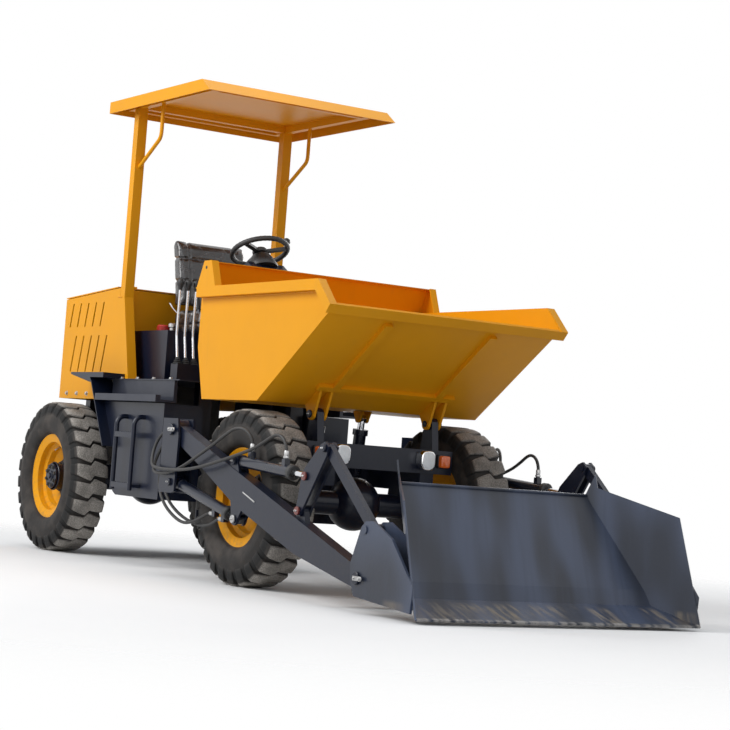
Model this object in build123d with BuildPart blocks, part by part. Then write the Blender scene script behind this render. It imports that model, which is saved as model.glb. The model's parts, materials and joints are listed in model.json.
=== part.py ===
"""Articulated site dumper with a front loader shovel.

Frame: millimetres, +X forward, +Y to the left, +Z up. The origin is on the ground, midway along the machine.
Every piece is placed from one of the two axles, so the functions ahead_of_front and ahead_of_rear give its x.
Right and left pieces are made on the right, at negative y, and mirrored.
"""

import math
import os

from build123d import *

os.makedirs("parts", exist_ok=True)

# ---- driving dimensions -------------------------------------------------------------------------------------
wheelbase = 2300.0
nose_overhang = 1770.0  # cutting edge ahead of the front axle
shovel_reach = 460.0  # cutting edge ahead of the shovel's pin
arm_setback = 530.0  # arm pin behind the front axle
tail_overhang = 450.0  # rear bumper behind the rear axle
pivot_setback = 850.0  # articulation pin behind the front axle
plate = 6.0  # sheet and plate used for panels
thick_plate = 12.0  # plate used for lugs and brackets

tyre_radius = 432.0
tyre_width = 235.0
tread_width = 196.0
wheel_centre_y = 572.0  # middle of each tyre from the machine's middle
rim_radius = 243.0
bead_radius = 206.0
rim_half_width = 72.0
shaft_z = 446.0  # height of the drive shafts
shaft_radius = 30.0
diff_nose = 165.0  # from an axle to the face that its drive shaft meets
hub_radius = 72.0

pin_play = 0.1  # radial clearance of a pin in its bore
side_play = 6.0  # side clearance between a lug and the piece that turns in it
seam = 5.0  # gap round the hood lid

rail_inner, rail_outer = 250.0, 330.0  # chassis side members, distances from the middle
rail_bottom, rail_top = 520.0, 660.0
axle_tube_radius = 60.0
diff_radius = 150.0

canopy_width = 1173.0
canopy_bottom = 2541.0
canopy_height = 66.0
post_size = 56.0
post_y = 478.0
post_foot = 1480.0
brace_radius = 11.0

hood_side = 506.0  # outer face of the hood side panels
hood_bottom = 895.0
hood_top = (1485.0, 1533.0)  # at the rear edge, at the posts
deck_top = 1012.0
deck_half_width = 540.0
step_rail_out = 100.0  # how far the step rail and mudguards stand out from the deck
tank_out = 40.0  # and the side tanks
guard_top = 1040.0
step_rail_z = (885.0, 922.0)
tank_bottom = 366.0

tank_top = 1296.0  # oil tank under the seat
cushion_height = 150.0
back_height = 414.0
steering_wheel_height = 756.0  # its middle above the deck
steering_lean = 25.0
column_length = 94.0

skip_half_width = 650.0
skip_rim_width = 38.0
skip_rim_height = 52.0
skip_sheet = 5.0

arm_inner = 699.0  # inner face of each loader arm, from the middle
arm_width = 62.0
lug_gap = 28.0  # width of the eyes that sit between lugs
barrel_radius = 27.0
rod_radius = 15.0
hose_radius = 8.0

axle_front_x = (tail_overhang + wheelbase - nose_overhang) / 2
axle_rear_x = axle_front_x - wheelbase
pivot_x = axle_front_x - pivot_setback
arm_outer = arm_inner + arm_width
arm_middle = (arm_inner + arm_outer) / 2
tank_side = deck_half_width + tank_out
rail_side = deck_half_width + step_rail_out


def ahead_of_front(distance):
    return axle_front_x + distance


def ahead_of_rear(distance):
    return axle_rear_x + distance


def behind_pivot(distance):
    return pivot_x - distance


# ---- pivots, as (x, z) --------------------------------------------------------------------------------------
skip_hinge = (ahead_of_front(150), 862.0)
skip_ram_base = (ahead_of_front(-230), 420.0)
skip_ram_eye = (ahead_of_front(-180), 868.0)
skip_ram_y = 130.0  # each of the two tipping rams from the middle, one on each side of the drive shaft
arm_pivot = (ahead_of_front(-arm_setback), 740.0)
shovel_pivot = (ahead_of_front(nose_overhang - shovel_reach), 150.0)
lift_base = (arm_pivot[0] + 20, arm_pivot[1] - 265)
lift_eye = (arm_pivot[0] + 680, arm_pivot[1] - 410)
lever_pivot = (shovel_pivot[0] - 565, shovel_pivot[1] + 255)
tilt_base = (lever_pivot[0] - 632, lever_pivot[1] + 202)
tilt_eye = (lever_pivot[0] + 40, lever_pivot[1] + 159)
lever_top = (lever_pivot[0] + 189, lever_pivot[1] + 290)
link_foot = (shovel_pivot[0] + 40, shovel_pivot[1] + 210)
lid_hinge = (ahead_of_rear(412), hood_top[1] + 12)
steer_ram_base = (behind_pivot(580), -180.0)  # this one is (x, y)
steer_ram_eye = (pivot_x + 120, -215.0)
steer_ram_z = 480.0
steer_stroke = 120.0  # room for the rod behind its piston end, and ahead of the gland for its eye
steer_exposed = steer_stroke + 36

finished = []  # (name, part) in the order in which they are written


def write(name, part):
    part.label = name
    export_step(part, f"parts/{name}.step")
    finished.append((name, part))


# ---- small shapes used by many pieces -----------------------------------------------------------------------
def slab(points, near, far):
    """A flat plate with this outline in x and z, between two distances to the right of the middle."""
    with BuildSketch(Plane.XZ.offset(near)) as outline:
        with BuildLine():
            Polyline(*points, close=True)
        make_face()
    extrude(outline.sketch, amount=far - near)


def cross_bar(point, radius, near, far, mode=Mode.ADD):
    """A round bar along y, between two distances to the right of the middle."""
    with BuildSketch(Plane.XZ.offset(near)) as circle:
        with Locations(point):
            Circle(radius)
    extrude(circle.sketch, amount=far - near, mode=mode)


def block(low, high, mode=Mode.ADD):
    """A box from its lowest corner to its highest."""
    middle = tuple((a + b) / 2 for a, b in zip(low, high))
    with Locations(middle):
        Box(*[b - a for a, b in zip(low, high)], mode=mode)


def boss_outline(points, centre, radius, start, end):
    """Corner points joined to an arc round a pin: the arc runs from angle start to end, in degrees."""
    steps = 8
    arc = []
    for i in range(steps + 1):
        angle = math.radians(start + (end - start) * i / steps)
        arc.append((centre[0] + radius * math.cos(angle), centre[1] + radius * math.sin(angle)))
    return list(points) + arc


def strip(points, thickness):
    """The outline of a folded sheet: these points and the same ones moved to the right of their direction."""
    moved = []
    for i, (x, z) in enumerate(points):
        before = points[i - 1] if i else None
        after = points[i + 1] if i + 1 < len(points) else None
        normals = []
        for a, b in ((before, (x, z)), ((x, z), after)):
            if a and b:
                length = math.dist(a, b)
                normals.append(((b[1] - a[1]) / length, -(b[0] - a[0]) / length))
        nx = sum(n[0] for n in normals)
        nz = sum(n[1] for n in normals)
        scale = thickness * len(normals) / (nx * nx + nz * nz) if len(normals) == 2 else thickness
        moved.append((x + nx * scale, z + nz * scale))
    return list(points) + moved[::-1]


def tube(points, radius, bend):
    """A round tube along a bent path."""
    with BuildLine() as path:
        FilletPolyline(*points, radius=bend)
    with BuildSketch(Plane(origin=path.line @ 0, z_dir=path.line % 0)) as section:
        Circle(radius)
    sweep(section.sketch, path=path.line)


def along(start, end, side):
    """A plane at the start, looking at the end, for pieces that lie in the x and z plane at this y."""
    direction = Vector(end[0] - start[0], 0, end[1] - start[1])
    return Plane(origin=(start[0], side, start[1]), x_dir=(0, 1, 0), z_dir=direction)


# ---- hydraulic cylinders ------------------------------------------------------------------------------------
gland_length = 30.0


def barrel(start, end, side, length, radius, rod, eye_radius, eye_width):
    """A cylinder barrel with a gland and a bored base eye, open where its rod enters."""
    line = along(start, end, side)
    for near, far, size, mode in (
        (0, eye_radius + 20, eye_width / 2, Mode.ADD),
        (eye_radius + 18, length, radius, Mode.ADD),
        (length - gland_length, length, radius * 1.25, Mode.ADD),
        (eye_radius + 30, length + 1, rod + 0.5, Mode.SUBTRACT),
    ):
        with BuildSketch(line.offset(near)) as circle:
            Circle(size)
        extrude(circle.sketch, amount=far - near, mode=mode)
    cross_bar(start, eye_radius, -side - eye_width / 2, -side + eye_width / 2)


def rod(start, end, side, length, radius, eye_radius, eye_width):
    """A rod with its eye at the end; start and end give its line, and length is what it has of it."""
    with BuildSketch(along(end, start, side)) as circle:
        Circle(radius)
    extrude(circle.sketch, amount=length)
    cross_bar(end, eye_radius, -side - eye_width / 2, -side + eye_width / 2)


def bore(point, radius, near, far):
    cross_bar(point, radius + pin_play, near, far, mode=Mode.SUBTRACT)


# ---- wheels -------------------------------------------------------------------------------------------------
rim_seat = (  # the rim's surface under the tyre's bead: outward from the tyre's middle, radius
    (rim_half_width + 8, rim_radius),
    (rim_half_width - 2, bead_radius + 4),
    (rim_half_width - 6, bead_radius),
)
spindle_radius = 34.0
spindle_end = 30.0  # outward from the tyre's middle


def wheel_section(x):
    """The plane through a wheel's axis: local x is the machine's y and local y is height above the axle."""
    return Plane(origin=(x, 0, tyre_radius), x_dir=(0, 1, 0), z_dir=(1, 0, 0))


def spin(x):
    revolve(axis=Axis((x, 0, tyre_radius), (0, 1, 0)))


def make_tyre(name, x, side):
    """side is -1 for a right wheel and 1 for a left one."""
    middle = side * wheel_centre_y
    half = tyre_width / 2
    tread = tread_width / 2
    bulge_radius = (tyre_radius + bead_radius) / 2
    with BuildPart() as tyre:
        with BuildSketch(wheel_section(x)):
            with BuildLine():
                right = Polyline(*[(middle + out, radius) for out, radius in rim_seat[::-1]])
                outer = ThreePointArc(right @ 1, (middle + half, bulge_radius), (middle + tread + 6, tyre_radius - 42))
                crown = Polyline(
                    outer @ 1,
                    (middle + tread - 6, tyre_radius),
                    (middle - tread + 6, tyre_radius),
                    (middle - tread - 6, tyre_radius - 42),
                )
                left = Polyline(*[(middle - out, radius) for out, radius in rim_seat])
                ThreePointArc(crown @ 1, (middle - half, bulge_radius), left @ 0)
                Line(left @ 1, right @ 0)
            make_face()
        spin(x)
    write(name, tyre.part)


def make_rim(name, x, side):
    """A stepped dish: the outward side of the wheel is open, and the disc lies towards the machine."""
    rows = (  # outward from the tyre's middle, radius
        *rim_seat,
        *[(-out, radius) for out, radius in rim_seat[::-1]],
        (-rim_half_width - 8, rim_radius - 8),
        (-rim_half_width + 6, bead_radius - 8),
        (-46, bead_radius - 8),
        (-46, 78),
        (-34, 78),
        (-34, 120),
        (-6, 168),
        (24, 176),
        (34, bead_radius - 8),
        (rim_half_width - 6, bead_radius - 8),
        (rim_half_width + 8, rim_radius - 8),
    )
    with BuildPart() as rim:
        with BuildSketch(wheel_section(x)):
            with BuildLine():
                Polyline(*[(side * (wheel_centre_y + out), radius) for out, radius in rows], close=True)
            make_face()
        spin(x)
    write(name, rim.part)


def make_hub(name, x, side):
    """The planetary hub that stands out of the dish, with its bolt ring."""
    outer_face = wheel_centre_y + 70
    with BuildPart() as hub:
        for near, far, radius in (
            (wheel_centre_y - 33, outer_face, hub_radius),
            (wheel_centre_y - 33, wheel_centre_y - 21, 112.0),
            (wheel_centre_y - 60, wheel_centre_y - 33, 77.0),
            (outer_face - 24, outer_face - 12, hub_radius + 8),
        ):
            with BuildSketch(Plane.XZ.offset(-side * near)):
                with Locations((x, tyre_radius)):
                    Circle(radius)
            extrude(amount=-side * (far - near))
        with BuildSketch(Plane.XZ.offset(-side * (wheel_centre_y - 61))):
            with Locations((x, tyre_radius)):
                Circle(spindle_radius + pin_play)
        extrude(amount=-side * (61 + spindle_end + side_play), mode=Mode.SUBTRACT)
    write(name, hub.part)


def make_wheels():
    for name, x, side in (
        ("front_right", axle_front_x, -1),
        ("front_left", axle_front_x, 1),
        ("rear_right", axle_rear_x, -1),
        ("rear_left", axle_rear_x, 1),
    ):
        make_tyre(f"tyre_{name}", x, side)
        make_rim(f"rim_{name}", x, side)
        make_hub(f"hub_{name}", x, side)


def make_axle(name, x):
    """Axle tube, differential and brake drums, hung under the chassis side members."""
    drum_end = wheel_centre_y - 66
    with BuildPart() as axle:
        cross_bar((x, tyre_radius), axle_tube_radius, 0, drum_end)
        cross_bar((x, tyre_radius), 70.0, drum_end - 60, drum_end)
        cross_bar((x, tyre_radius), 96.0, drum_end - 52, drum_end - 8)
        cross_bar((x, tyre_radius), spindle_radius, drum_end, wheel_centre_y + spindle_end)
        block((x - 55, -rail_outer, tyre_radius), (x + 55, -rail_inner, rail_bottom))
        mirror(about=Plane.XZ)
        with Locations((x, 0, tyre_radius)):
            Sphere(diff_radius * 0.9)
        nose = 1 if x == axle_rear_x else -1
        with BuildSketch(Plane.YZ.offset(x)):
            with Locations((0, shaft_z)):
                Circle(62)
        extrude(amount=nose * diff_nose)
    write(name, axle.part)


# ---- rear frame ---------------------------------------------------------------------------------------------
tongue_z = ((300.0, 336.0), (560.0, 600.0))  # front frame's tongues: bottom, top
fork_plate = 24.0
fork_radius = 70.0
pivot_pin_radius = 30.0
bumper_half = 440.0  # half the rear bumper's width, clear of the tyres' inner walls
lamp_depth = 30.0  # tail lamps and towing jaw behind the bumper plate
jaw_z = (560.0, 640.0)  # bottoms of the towing jaw's two plates
jaw_plate = 20.0
jaw_hole = 16.0
jaw_setback = 30.0  # pin hole ahead of the bumper's face
fork_root = 200.0  # from the pin back to the rear frame's end plate, and forward to the front frame's
tongue_gap = 6.0


def pivot_plate(root_x, bottom, top):
    """A plate that tapers from the frame's end plate to a round boss on the articulation pin."""
    reach = 1 if root_x > pivot_x else -1
    with BuildSketch(Plane.XY.offset(bottom)) as outline:
        with BuildLine():
            Polyline(
                (root_x, rail_inner),
                (pivot_x + reach * 20, fork_radius),
                (pivot_x + reach * 20, -fork_radius),
                (root_x, -rail_inner),
                close=True,
            )
        make_face()
        with Locations((pivot_x, 0)):
            Circle(fork_radius)
    extrude(outline.sketch, amount=top - bottom)


def make_rear_frame():
    end_x = pivot_x - fork_root
    tail_x = axle_rear_x - tail_overhang + lamp_depth
    with BuildPart() as sides:
        block((tail_x + thick_plate, -rail_outer, rail_bottom), (end_x - thick_plate, -rail_inner, rail_top))
        # posts that carry the hood and the deck
        for x, top in (
            (ahead_of_rear(-250), hood_bottom),
            (ahead_of_rear(560), deck_top - plate),
            (behind_pivot(300), deck_top - plate),
        ):
            block((x - 30, -rail_outer, rail_top), (x + 30, -rail_inner, top))
        mirror(about=Plane.XZ)
    write("rear_side_members", sides.part)

    ram_x, ram_y = steer_ram_base
    with BuildPart() as across:
        block((tail_x, -bumper_half, 470), (tail_x + thick_plate, bumper_half, 860))
        block((tail_x, -bumper_half, 860 - thick_plate), (tail_x + 130, bumper_half, 860))
        for z in jaw_z:
            block((tail_x - lamp_depth, -60, z), (tail_x + 90, 60, z + jaw_plate))
        block((tail_x, -60, jaw_z[0] + jaw_plate), (tail_x + thick_plate, 60, jaw_z[1]), mode=Mode.SUBTRACT)
        with BuildSketch(Plane.XY.offset(jaw_z[0] - 1)):
            with Locations((tail_x + jaw_setback, 0)):
                Circle(jaw_hole)
        extrude(amount=jaw_z[1] - jaw_z[0] + jaw_plate + 2, mode=Mode.SUBTRACT)
        # way through the bumper's flange for the towing pin
        with BuildSketch(Plane.XY.offset(860 - thick_plate - 1)):
            with Locations((tail_x + jaw_setback, 0)):
                Circle(jaw_hole + 14)
        extrude(amount=thick_plate + 2, mode=Mode.SUBTRACT)
        for x in (ahead_of_rear(-180), ahead_of_rear(300), behind_pivot(690)):
            block((x - 30, -rail_inner, 600), (x + 30, rail_inner, rail_top))
        # ears for the steering ram on the right side member
        for z in (steer_ram_z - 40, steer_ram_z + 28):
            block((ram_x - 40, -rail_inner - 40, z), (ram_x + 25, ram_y + 30, z + thick_plate))
        block((ram_x - 40, -rail_inner - 40, steer_ram_z - 40), (ram_x + 25, -rail_inner, rail_bottom))
        with BuildSketch(Plane.XY.offset(steer_ram_z - 46)):
            with Locations(steer_ram_base):
                Circle(14)
        extrude(amount=92)
    write("rear_cross_members", across.part)

    with BuildPart() as fork:
        foot = tongue_z[0][0] - fork_plate - tongue_gap
        block((end_x - thick_plate, -rail_outer, foot), (end_x, rail_outer, rail_top))
        for bottom, top in tongue_z:
            for low in (bottom - tongue_gap - fork_plate, top + tongue_gap):
                pivot_plate(end_x, low, low + fork_plate)
            with BuildSketch(Plane.XY.offset(bottom - tongue_gap - fork_plate - 10)):
                with Locations((pivot_x, 0)):
                    Circle(pivot_pin_radius)
            extrude(amount=top - bottom + 2 * (tongue_gap + fork_plate + 10))
        # holes for the drive shaft and the steering ram
        with BuildSketch(Plane.YZ.offset(end_x + 1)):
            with Locations((0, shaft_z)):
                Circle(shaft_radius + 40)
            with Locations((ram_y - 10, steer_ram_z)):
                Rectangle(160, 84)
        extrude(amount=-thick_plate - 2, mode=Mode.SUBTRACT)
    write("rear_fork", fork.part)


gearbox_rear, gearbox_front = 420.0, 780.0  # ahead of the rear axle
joint_radius = 52.0  # universal joint on the articulation pin's line


def make_engine():
    with BuildPart() as engine:
        block((ahead_of_rear(-200), -230, 670), (ahead_of_rear(380), 230, 1330))
    write("engine_block", engine.part)
    with BuildPart() as gearbox:
        block((ahead_of_rear(gearbox_rear), -120, 370), (ahead_of_rear(gearbox_front), 120, 590))
    write("gearbox", gearbox.part)
    with BuildPart() as shafts:
        for start, end in (
            (ahead_of_rear(diff_nose), ahead_of_rear(gearbox_rear)),
            (ahead_of_rear(gearbox_front), pivot_x - joint_radius - 2 * side_play),
        ):
            with BuildSketch(Plane.YZ.offset(start)):
                with Locations((0, shaft_z)):
                    Circle(shaft_radius)
            extrude(amount=end - start)
    write("rear_drive_shafts", shafts.part)
    with BuildPart() as shaft:
        with Locations((pivot_x, 0, shaft_z)):
            Sphere(joint_radius)
        with BuildSketch(Plane.YZ.offset(pivot_x)):
            with Locations((0, shaft_z)):
                Circle(shaft_radius)
        extrude(amount=ahead_of_front(-diff_nose) - pivot_x)
    write("front_drive_shaft", shaft.part)


def make_hood():
    rear, front, foot = ahead_of_rear(-284), ahead_of_rear(513), ahead_of_rear(640)
    post_back = ahead_of_rear(457)
    bulkhead = ahead_of_rear(430)
    top_rear, top_front = hood_top
    bottom = hood_bottom
    side = [
        (rear, bottom),
        (rear, top_rear),
        (post_back - 2, top_front),
        (post_back - 2, post_foot),
        (front, post_foot),
        (foot, deck_top),
        (ahead_of_rear(300), deck_top),
        (ahead_of_rear(300), bottom),
    ]
    with BuildPart() as hood:
        slab(side, hood_side - plate, hood_side)
        # front flange and the shelf that the post stands on
        flange = [(foot, deck_top), (front, post_foot), (front - plate - 1, post_foot), (foot - plate - 1, deck_top)]
        slab(flange, hood_side - 56, hood_side)
        block((post_back - 2, -hood_side, post_foot - plate), (front, -hood_side + 56, post_foot))
        # louvres: two rows of slanted slots, top x, top z, bottom z
        for row_x, high, low in ((-182, hood_top[0] - 27, hood_top[0] - 167), (-112, hood_top[0] - 220, hood_top[0] - 432)):
            for i in range(5):
                x = ahead_of_rear(row_x + 105 * i)
                lean = (high - low) * 0.24
                with BuildSketch(Plane.XZ.offset(hood_side - plate - 1)):
                    with BuildLine():
                        Polyline((x, high), (x + 16, high), (x + 16 - lean, low), (x - lean, low), close=True)
                    make_face()
                extrude(amount=plate + 2, mode=Mode.SUBTRACT)
        mirror(about=Plane.XZ)
        block((rear, -hood_side, bottom), (rear + plate, hood_side, top_rear))
        block((bulkhead - plate, -hood_side + plate, deck_top), (bulkhead, hood_side - plate, top_front - 3))
        for i in range(8):  # rear grille
            z = 980 + 48 * i
            block((rear - 1, -320, z), (rear + plate + 1, 320, z + 22), mode=Mode.SUBTRACT)
    write("hood_shell", hood.part)

    with BuildPart() as lid:
        slope = (top_front - top_rear) / (post_back - 2 - rear)
        x0, x1 = rear - 4, bulkhead - plate - seam
        z0 = top_rear + slope * (x0 - rear) + seam
        z1 = top_rear + slope * (x1 - rear) + seam
        slab([(x0, z0), (x1, z1), (x1, z1 + plate), (x0, z0 + plate)], 0, hood_side)
        inset = plate + seam
        slab([(rear + inset, z0 - 30), (x1, z1 - 30), (x1, z1 + 1), (rear + inset, z0 + 1)], hood_side - inset - plate, hood_side - inset)
        cross_bar(lid_hinge, 8, hood_side - 120, hood_side - 50)  # hinge knuckle
        mirror(about=Plane.XZ)
    write("hood_lid", lid.part)


def make_canopy():
    rear, front = ahead_of_rear(287), ahead_of_rear(1515)
    top_front = front - 94
    half = canopy_width / 2
    roof_top = canopy_bottom + canopy_height
    frame_top, frame_bottom = roof_top - plate / 2, roof_top - plate / 2 - 40
    post_x = ahead_of_rear(485)
    with BuildPart() as roof:
        slab([(rear, canopy_bottom), (front, canopy_bottom), (top_front, roof_top), (rear, roof_top)], -half, half)
        inside = [
            (rear + 3, canopy_bottom - 1),
            (front - 5, canopy_bottom - 1),
            (top_front - 3, frame_top),
            (rear + 3, frame_top),
        ]
        with BuildSketch(Plane.XZ.offset(-half + 3)):
            with BuildLine():
                Polyline(*inside, close=True)
            make_face()
        extrude(amount=2 * half - 6, mode=Mode.SUBTRACT)
    write("canopy_roof", roof.part)

    with BuildPart() as frame:
        low = (post_x - post_size / 2, -post_y - post_size / 2, post_foot)
        block(low, (post_x + post_size / 2, -post_y + post_size / 2, frame_bottom))
        bend_x, bend_z = post_x + 277, frame_bottom - 190
        brace = [(bend_x, -post_y, frame_bottom), (bend_x, -post_y, bend_z), (post_x + 20, -post_y, bend_z - 150)]
        tube(brace, brace_radius, 5 * brace_radius)
        block((rear + 60, -post_y - 20, frame_bottom), (front - 130, -post_y + 20, frame_top))
        mirror(about=Plane.XZ)
        for x in (rear + 60, post_x - 20, front - 190):
            block((x, -post_y + 20, frame_bottom), (x + 40, post_y - 20, frame_top))
    write("canopy_frame", frame.part)


def make_operator_place():
    bulkhead = ahead_of_rear(430)
    seat_z = tank_top + cushion_height
    with BuildPart() as tank:
        block((bulkhead + 20, -400, deck_top), (ahead_of_rear(880), 400, tank_top))
        with BuildSketch(Plane.XY.offset(tank_top)):
            with Locations((ahead_of_rear(690), -330)):
                Circle(34)
        extrude(amount=30)
    write("oil_tank", tank.part)

    with BuildPart() as cushion:
        block((ahead_of_rear(560), -240, tank_top), (ahead_of_rear(1010), 240, seat_z))
    write("seat_cushion", cushion.part)
    foot_x, lean = ahead_of_rear(560), 80.0
    with BuildPart() as back:
        outline = [
            (foot_x, seat_z),
            (foot_x + 100, seat_z),
            (foot_x + 100 - lean, seat_z + back_height),
            (foot_x - lean, seat_z + back_height),
        ]
        slab(outline, -240, 240)
    write("seat_back", back.part)

    wheel_x, wheel_z = behind_pivot(314), deck_top + steering_wheel_height
    angle = math.radians(steering_lean)
    up = Vector(-math.sin(angle), 0, math.cos(angle))
    face = Plane(origin=(wheel_x, 0, wheel_z), x_dir=(0, 1, 0), z_dir=up)
    foot = face.origin - up * column_length
    with BuildPart() as console:
        front_x = behind_pivot(105)
        block((behind_pivot(235), -110, deck_top), (front_x, 110, foot.Z - 122))
        # the shroud's top lies square to the steering column
        shroud = [
            (foot.X - 34, foot.Z - 34 * math.tan(angle)),
            (foot.X - 10, foot.Z - 162),
            (front_x, foot.Z - 182),
            (front_x, foot.Z - 62),
            (foot.X + 34, foot.Z + 34 * math.tan(angle)),
        ]
        slab(shroud, -115, 115)
    write("steering_console", console.part)
    with BuildPart() as wheel:
        with BuildSketch(Plane(origin=face.origin, x_dir=face.x_dir, z_dir=face.y_dir)):
            with Locations((155, 0)):
                Circle(14)
        revolve(axis=Axis(face.origin, face.z_dir))
        with BuildSketch(face.offset(-12)):
            Circle(42)
            with PolarLocations(0, 3, start_angle=90):
                with Locations((75, 0)):
                    Rectangle(150, 26)
        extrude(amount=16)
        with BuildSketch(face.offset(-column_length)):
            Circle(24)
        extrude(amount=column_length - 4)
    write("steering_wheel", wheel.part)

    with BuildPart() as levers:
        box_x, box_top = behind_pivot(480), deck_top + 98
        block((box_x - 40, -390, deck_top), (box_x + 40, -250, box_top))
        for i in range(3):
            y = -372 + 50 * i
            tube([(box_x, y, box_top - 5), (box_x - 35, y, box_top + 160), (box_x - 35, y, box_top + 450)], 7, 60)
    write("control_levers", levers.part)


def fender_x(z):
    """Front wall of the rear mudguard, which leans: its rear face at this height."""
    return ahead_of_rear(411 + (guard_top - z) * 0.599)


def make_deck():
    wall = 7.0  # thickness of the leaning wall along x
    with BuildPart() as deck:
        under = deck_top - plate
        block((fender_x(under) + wall, -deck_half_width, under), (behind_pivot(110), deck_half_width, deck_top))
        # step rail under the deck's edge: its face, the web above it and the strip between them
        rear, front = ahead_of_rear(512), behind_pivot(174)
        low, high = step_rail_z
        web = deck_half_width - 26
        block((rear, -rail_side, low), (front, -rail_side + 30, high))
        block((rear, -web - 20, low), (front, -web, under))
        block((rear, -rail_side + 29, low), (front, -web, low + thick_plate))
        mirror(about=Plane.XZ)
    write("deck", deck.part)

    with BuildPart() as guards:
        tip, low, end = ahead_of_rear(163), guard_top - 55, ahead_of_rear(600)
        shelf = [
            (tip, guard_top),
            (tip, guard_top - 12),
            (fender_x(low) - 20, low),
            (fender_x(low), low),
            (fender_x(deck_top), deck_top),
            (end, deck_top),
            (end, guard_top),
        ]
        slab(shelf, hood_side, rail_side)
        top, foot = low + 10, 630.0
        leaning = [
            (fender_x(top), top),
            (fender_x(foot), foot),
            (fender_x(foot) + wall, foot),
            (fender_x(top) + wall, top),
        ]
        slab(leaning, rail_outer + 15, rail_side)
        mirror(about=Plane.XZ)
    write("mudguards", guards.part)

    with BuildPart() as tanks:
        low_x, front, top = ahead_of_rear(690), behind_pivot(180), step_rail_z[0] - 5
        outline = [
            (fender_x(top) + wall, top),
            (fender_x(640) + wall, 640),
            (low_x, 600),
            (low_x + 20, tank_bottom + 19),
            (low_x + 60, tank_bottom),
            (front, tank_bottom),
            (front, top),
        ]
        slab(outline, rail_outer + 15, tank_side)
        mirror(about=Plane.XZ)
    write("side_tanks", tanks.part)

    with BuildPart() as ladders:
        feet = (behind_pivot(620), behind_pivot(405))
        out, top, low = tank_side + 60, 800.0, 400.0
        for x in feet:
            tube([(x, -tank_side, top), (x, -out, top), (x, -out, low)], 13, 45)
            block((x - 8, -out, low + 17), (x + 8, -tank_side, low + 33))
        for z in (low + 25, top - 100):
            block((feet[0], -out - 12, z - 14), (feet[1], -out + 12, z + 14))
        mirror(about=Plane.XZ)
    write("step_ladders", ladders.part)

    with BuildPart() as lamps:
        tail_x = axle_rear_x - tail_overhang
        block((tail_x, -430, 770), (tail_x + lamp_depth, -330, 830))
        mirror(about=Plane.XZ)
    write("tail_lamps", lamps.part)


def make_steering_ram():
    start, end = steer_ram_base, steer_ram_eye
    direction = Vector(end[0] - start[0], end[1] - start[1], 0)
    line = Plane(origin=(start[0], start[1], steer_ram_z), x_dir=(0, 0, 1), z_dir=direction)
    length = direction.length
    with BuildPart() as ram:
        with BuildSketch(line.offset(18)):
            Circle(barrel_radius)
        extrude(amount=length - steer_exposed - 18)
        with BuildSketch(line.offset(length - steer_exposed + 1)):
            Circle(rod_radius + 0.5)
        extrude(amount=-(length - steer_exposed - 68), mode=Mode.SUBTRACT)
        with BuildSketch(Plane.XY.offset(steer_ram_z - 22)):
            with Locations(start):
                Circle(30)
        extrude(amount=44)
        with BuildSketch(Plane.XY.offset(steer_ram_z - 23)):
            with Locations(start):
                Circle(14 + pin_play)
        extrude(amount=46, mode=Mode.SUBTRACT)
    write("steer_ram_barrel", ram.part)
    with BuildPart() as stem:
        with BuildSketch(line.offset(68 + steer_stroke)):
            Circle(rod_radius)
        extrude(amount=length - 68 - steer_stroke)
        with BuildSketch(Plane.XY.offset(steer_ram_z - 14)):
            with Locations(end):
                Circle(26)
        extrude(amount=28)
    write("steer_ram_rod", stem.part)


# ---- front frame --------------------------------------------------------------------------------------------
bracket_inner = (arm_inner - side_play - thick_plate, arm_inner - side_play)
bracket_outer = (arm_outer + side_play, arm_outer + side_play + thick_plate)
lamp_plate_x = 212.0
arm_pin = 24.0
shovel_pin = 22.0
ram_ear_inner = 34.0  # from the middle of a tipping ram to the inner faces of its ears


# Hoses on the right, from the arm bracket's rear plate to a cylinder's port, as (x, y, z).
tilt_rod_hose = (
    (-144, -742, 727),
    (-178, -742, 727),
    (-211, -745, 713),
    (-236, -751, 688),
    (-250, -759, 655),
    (-250, -769, 619),
    (-236, -780, 586),
    (-211, -791, 561),
    (-178, -800, 547),
    (-110, -808, 540),
    (10, -815, 537),
    (170, -820, 540),
    (345, -815, 560),
    (530, -800, 600),
    (680, -778, 640),
    (790, -762, 672),
    (868, -751, 707),
    (908, -744, 727),
    (940, -740, 740),
    (967, -737, 743),
    (994, -735, 737),
    (1017, -733, 722),
    (1033, -731, 701),
    (1042, -730, 675),
    (1042.1, -730, 648.2),
)
tilt_base_hose = (
    (-144, -716, 690),
    (-177, -716, 690),
    (-208, -720, 677),
    (-232, -727, 653),
    (-245, -737, 622),
    (-245, -750, 588),
    (-232, -765, 557),
    (-208, -780, 533),
    (-177, -792, 520),
    (-115, -798, 513),
    (0, -799, 520),
    (130, -798, 552),
    (270, -800, 604),
    (410, -799, 660),
    (510, -793, 708),
    (570, -784, 741),
    (600, -777, 755),
    (621, -770, 762),
    (647, -760, 764),
    (672, -750, 757),
    (694, -741, 742),
    (710, -734, 721),
    (717.8, -730, 696),
    (717.8, -730, 669.1),
)
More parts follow.
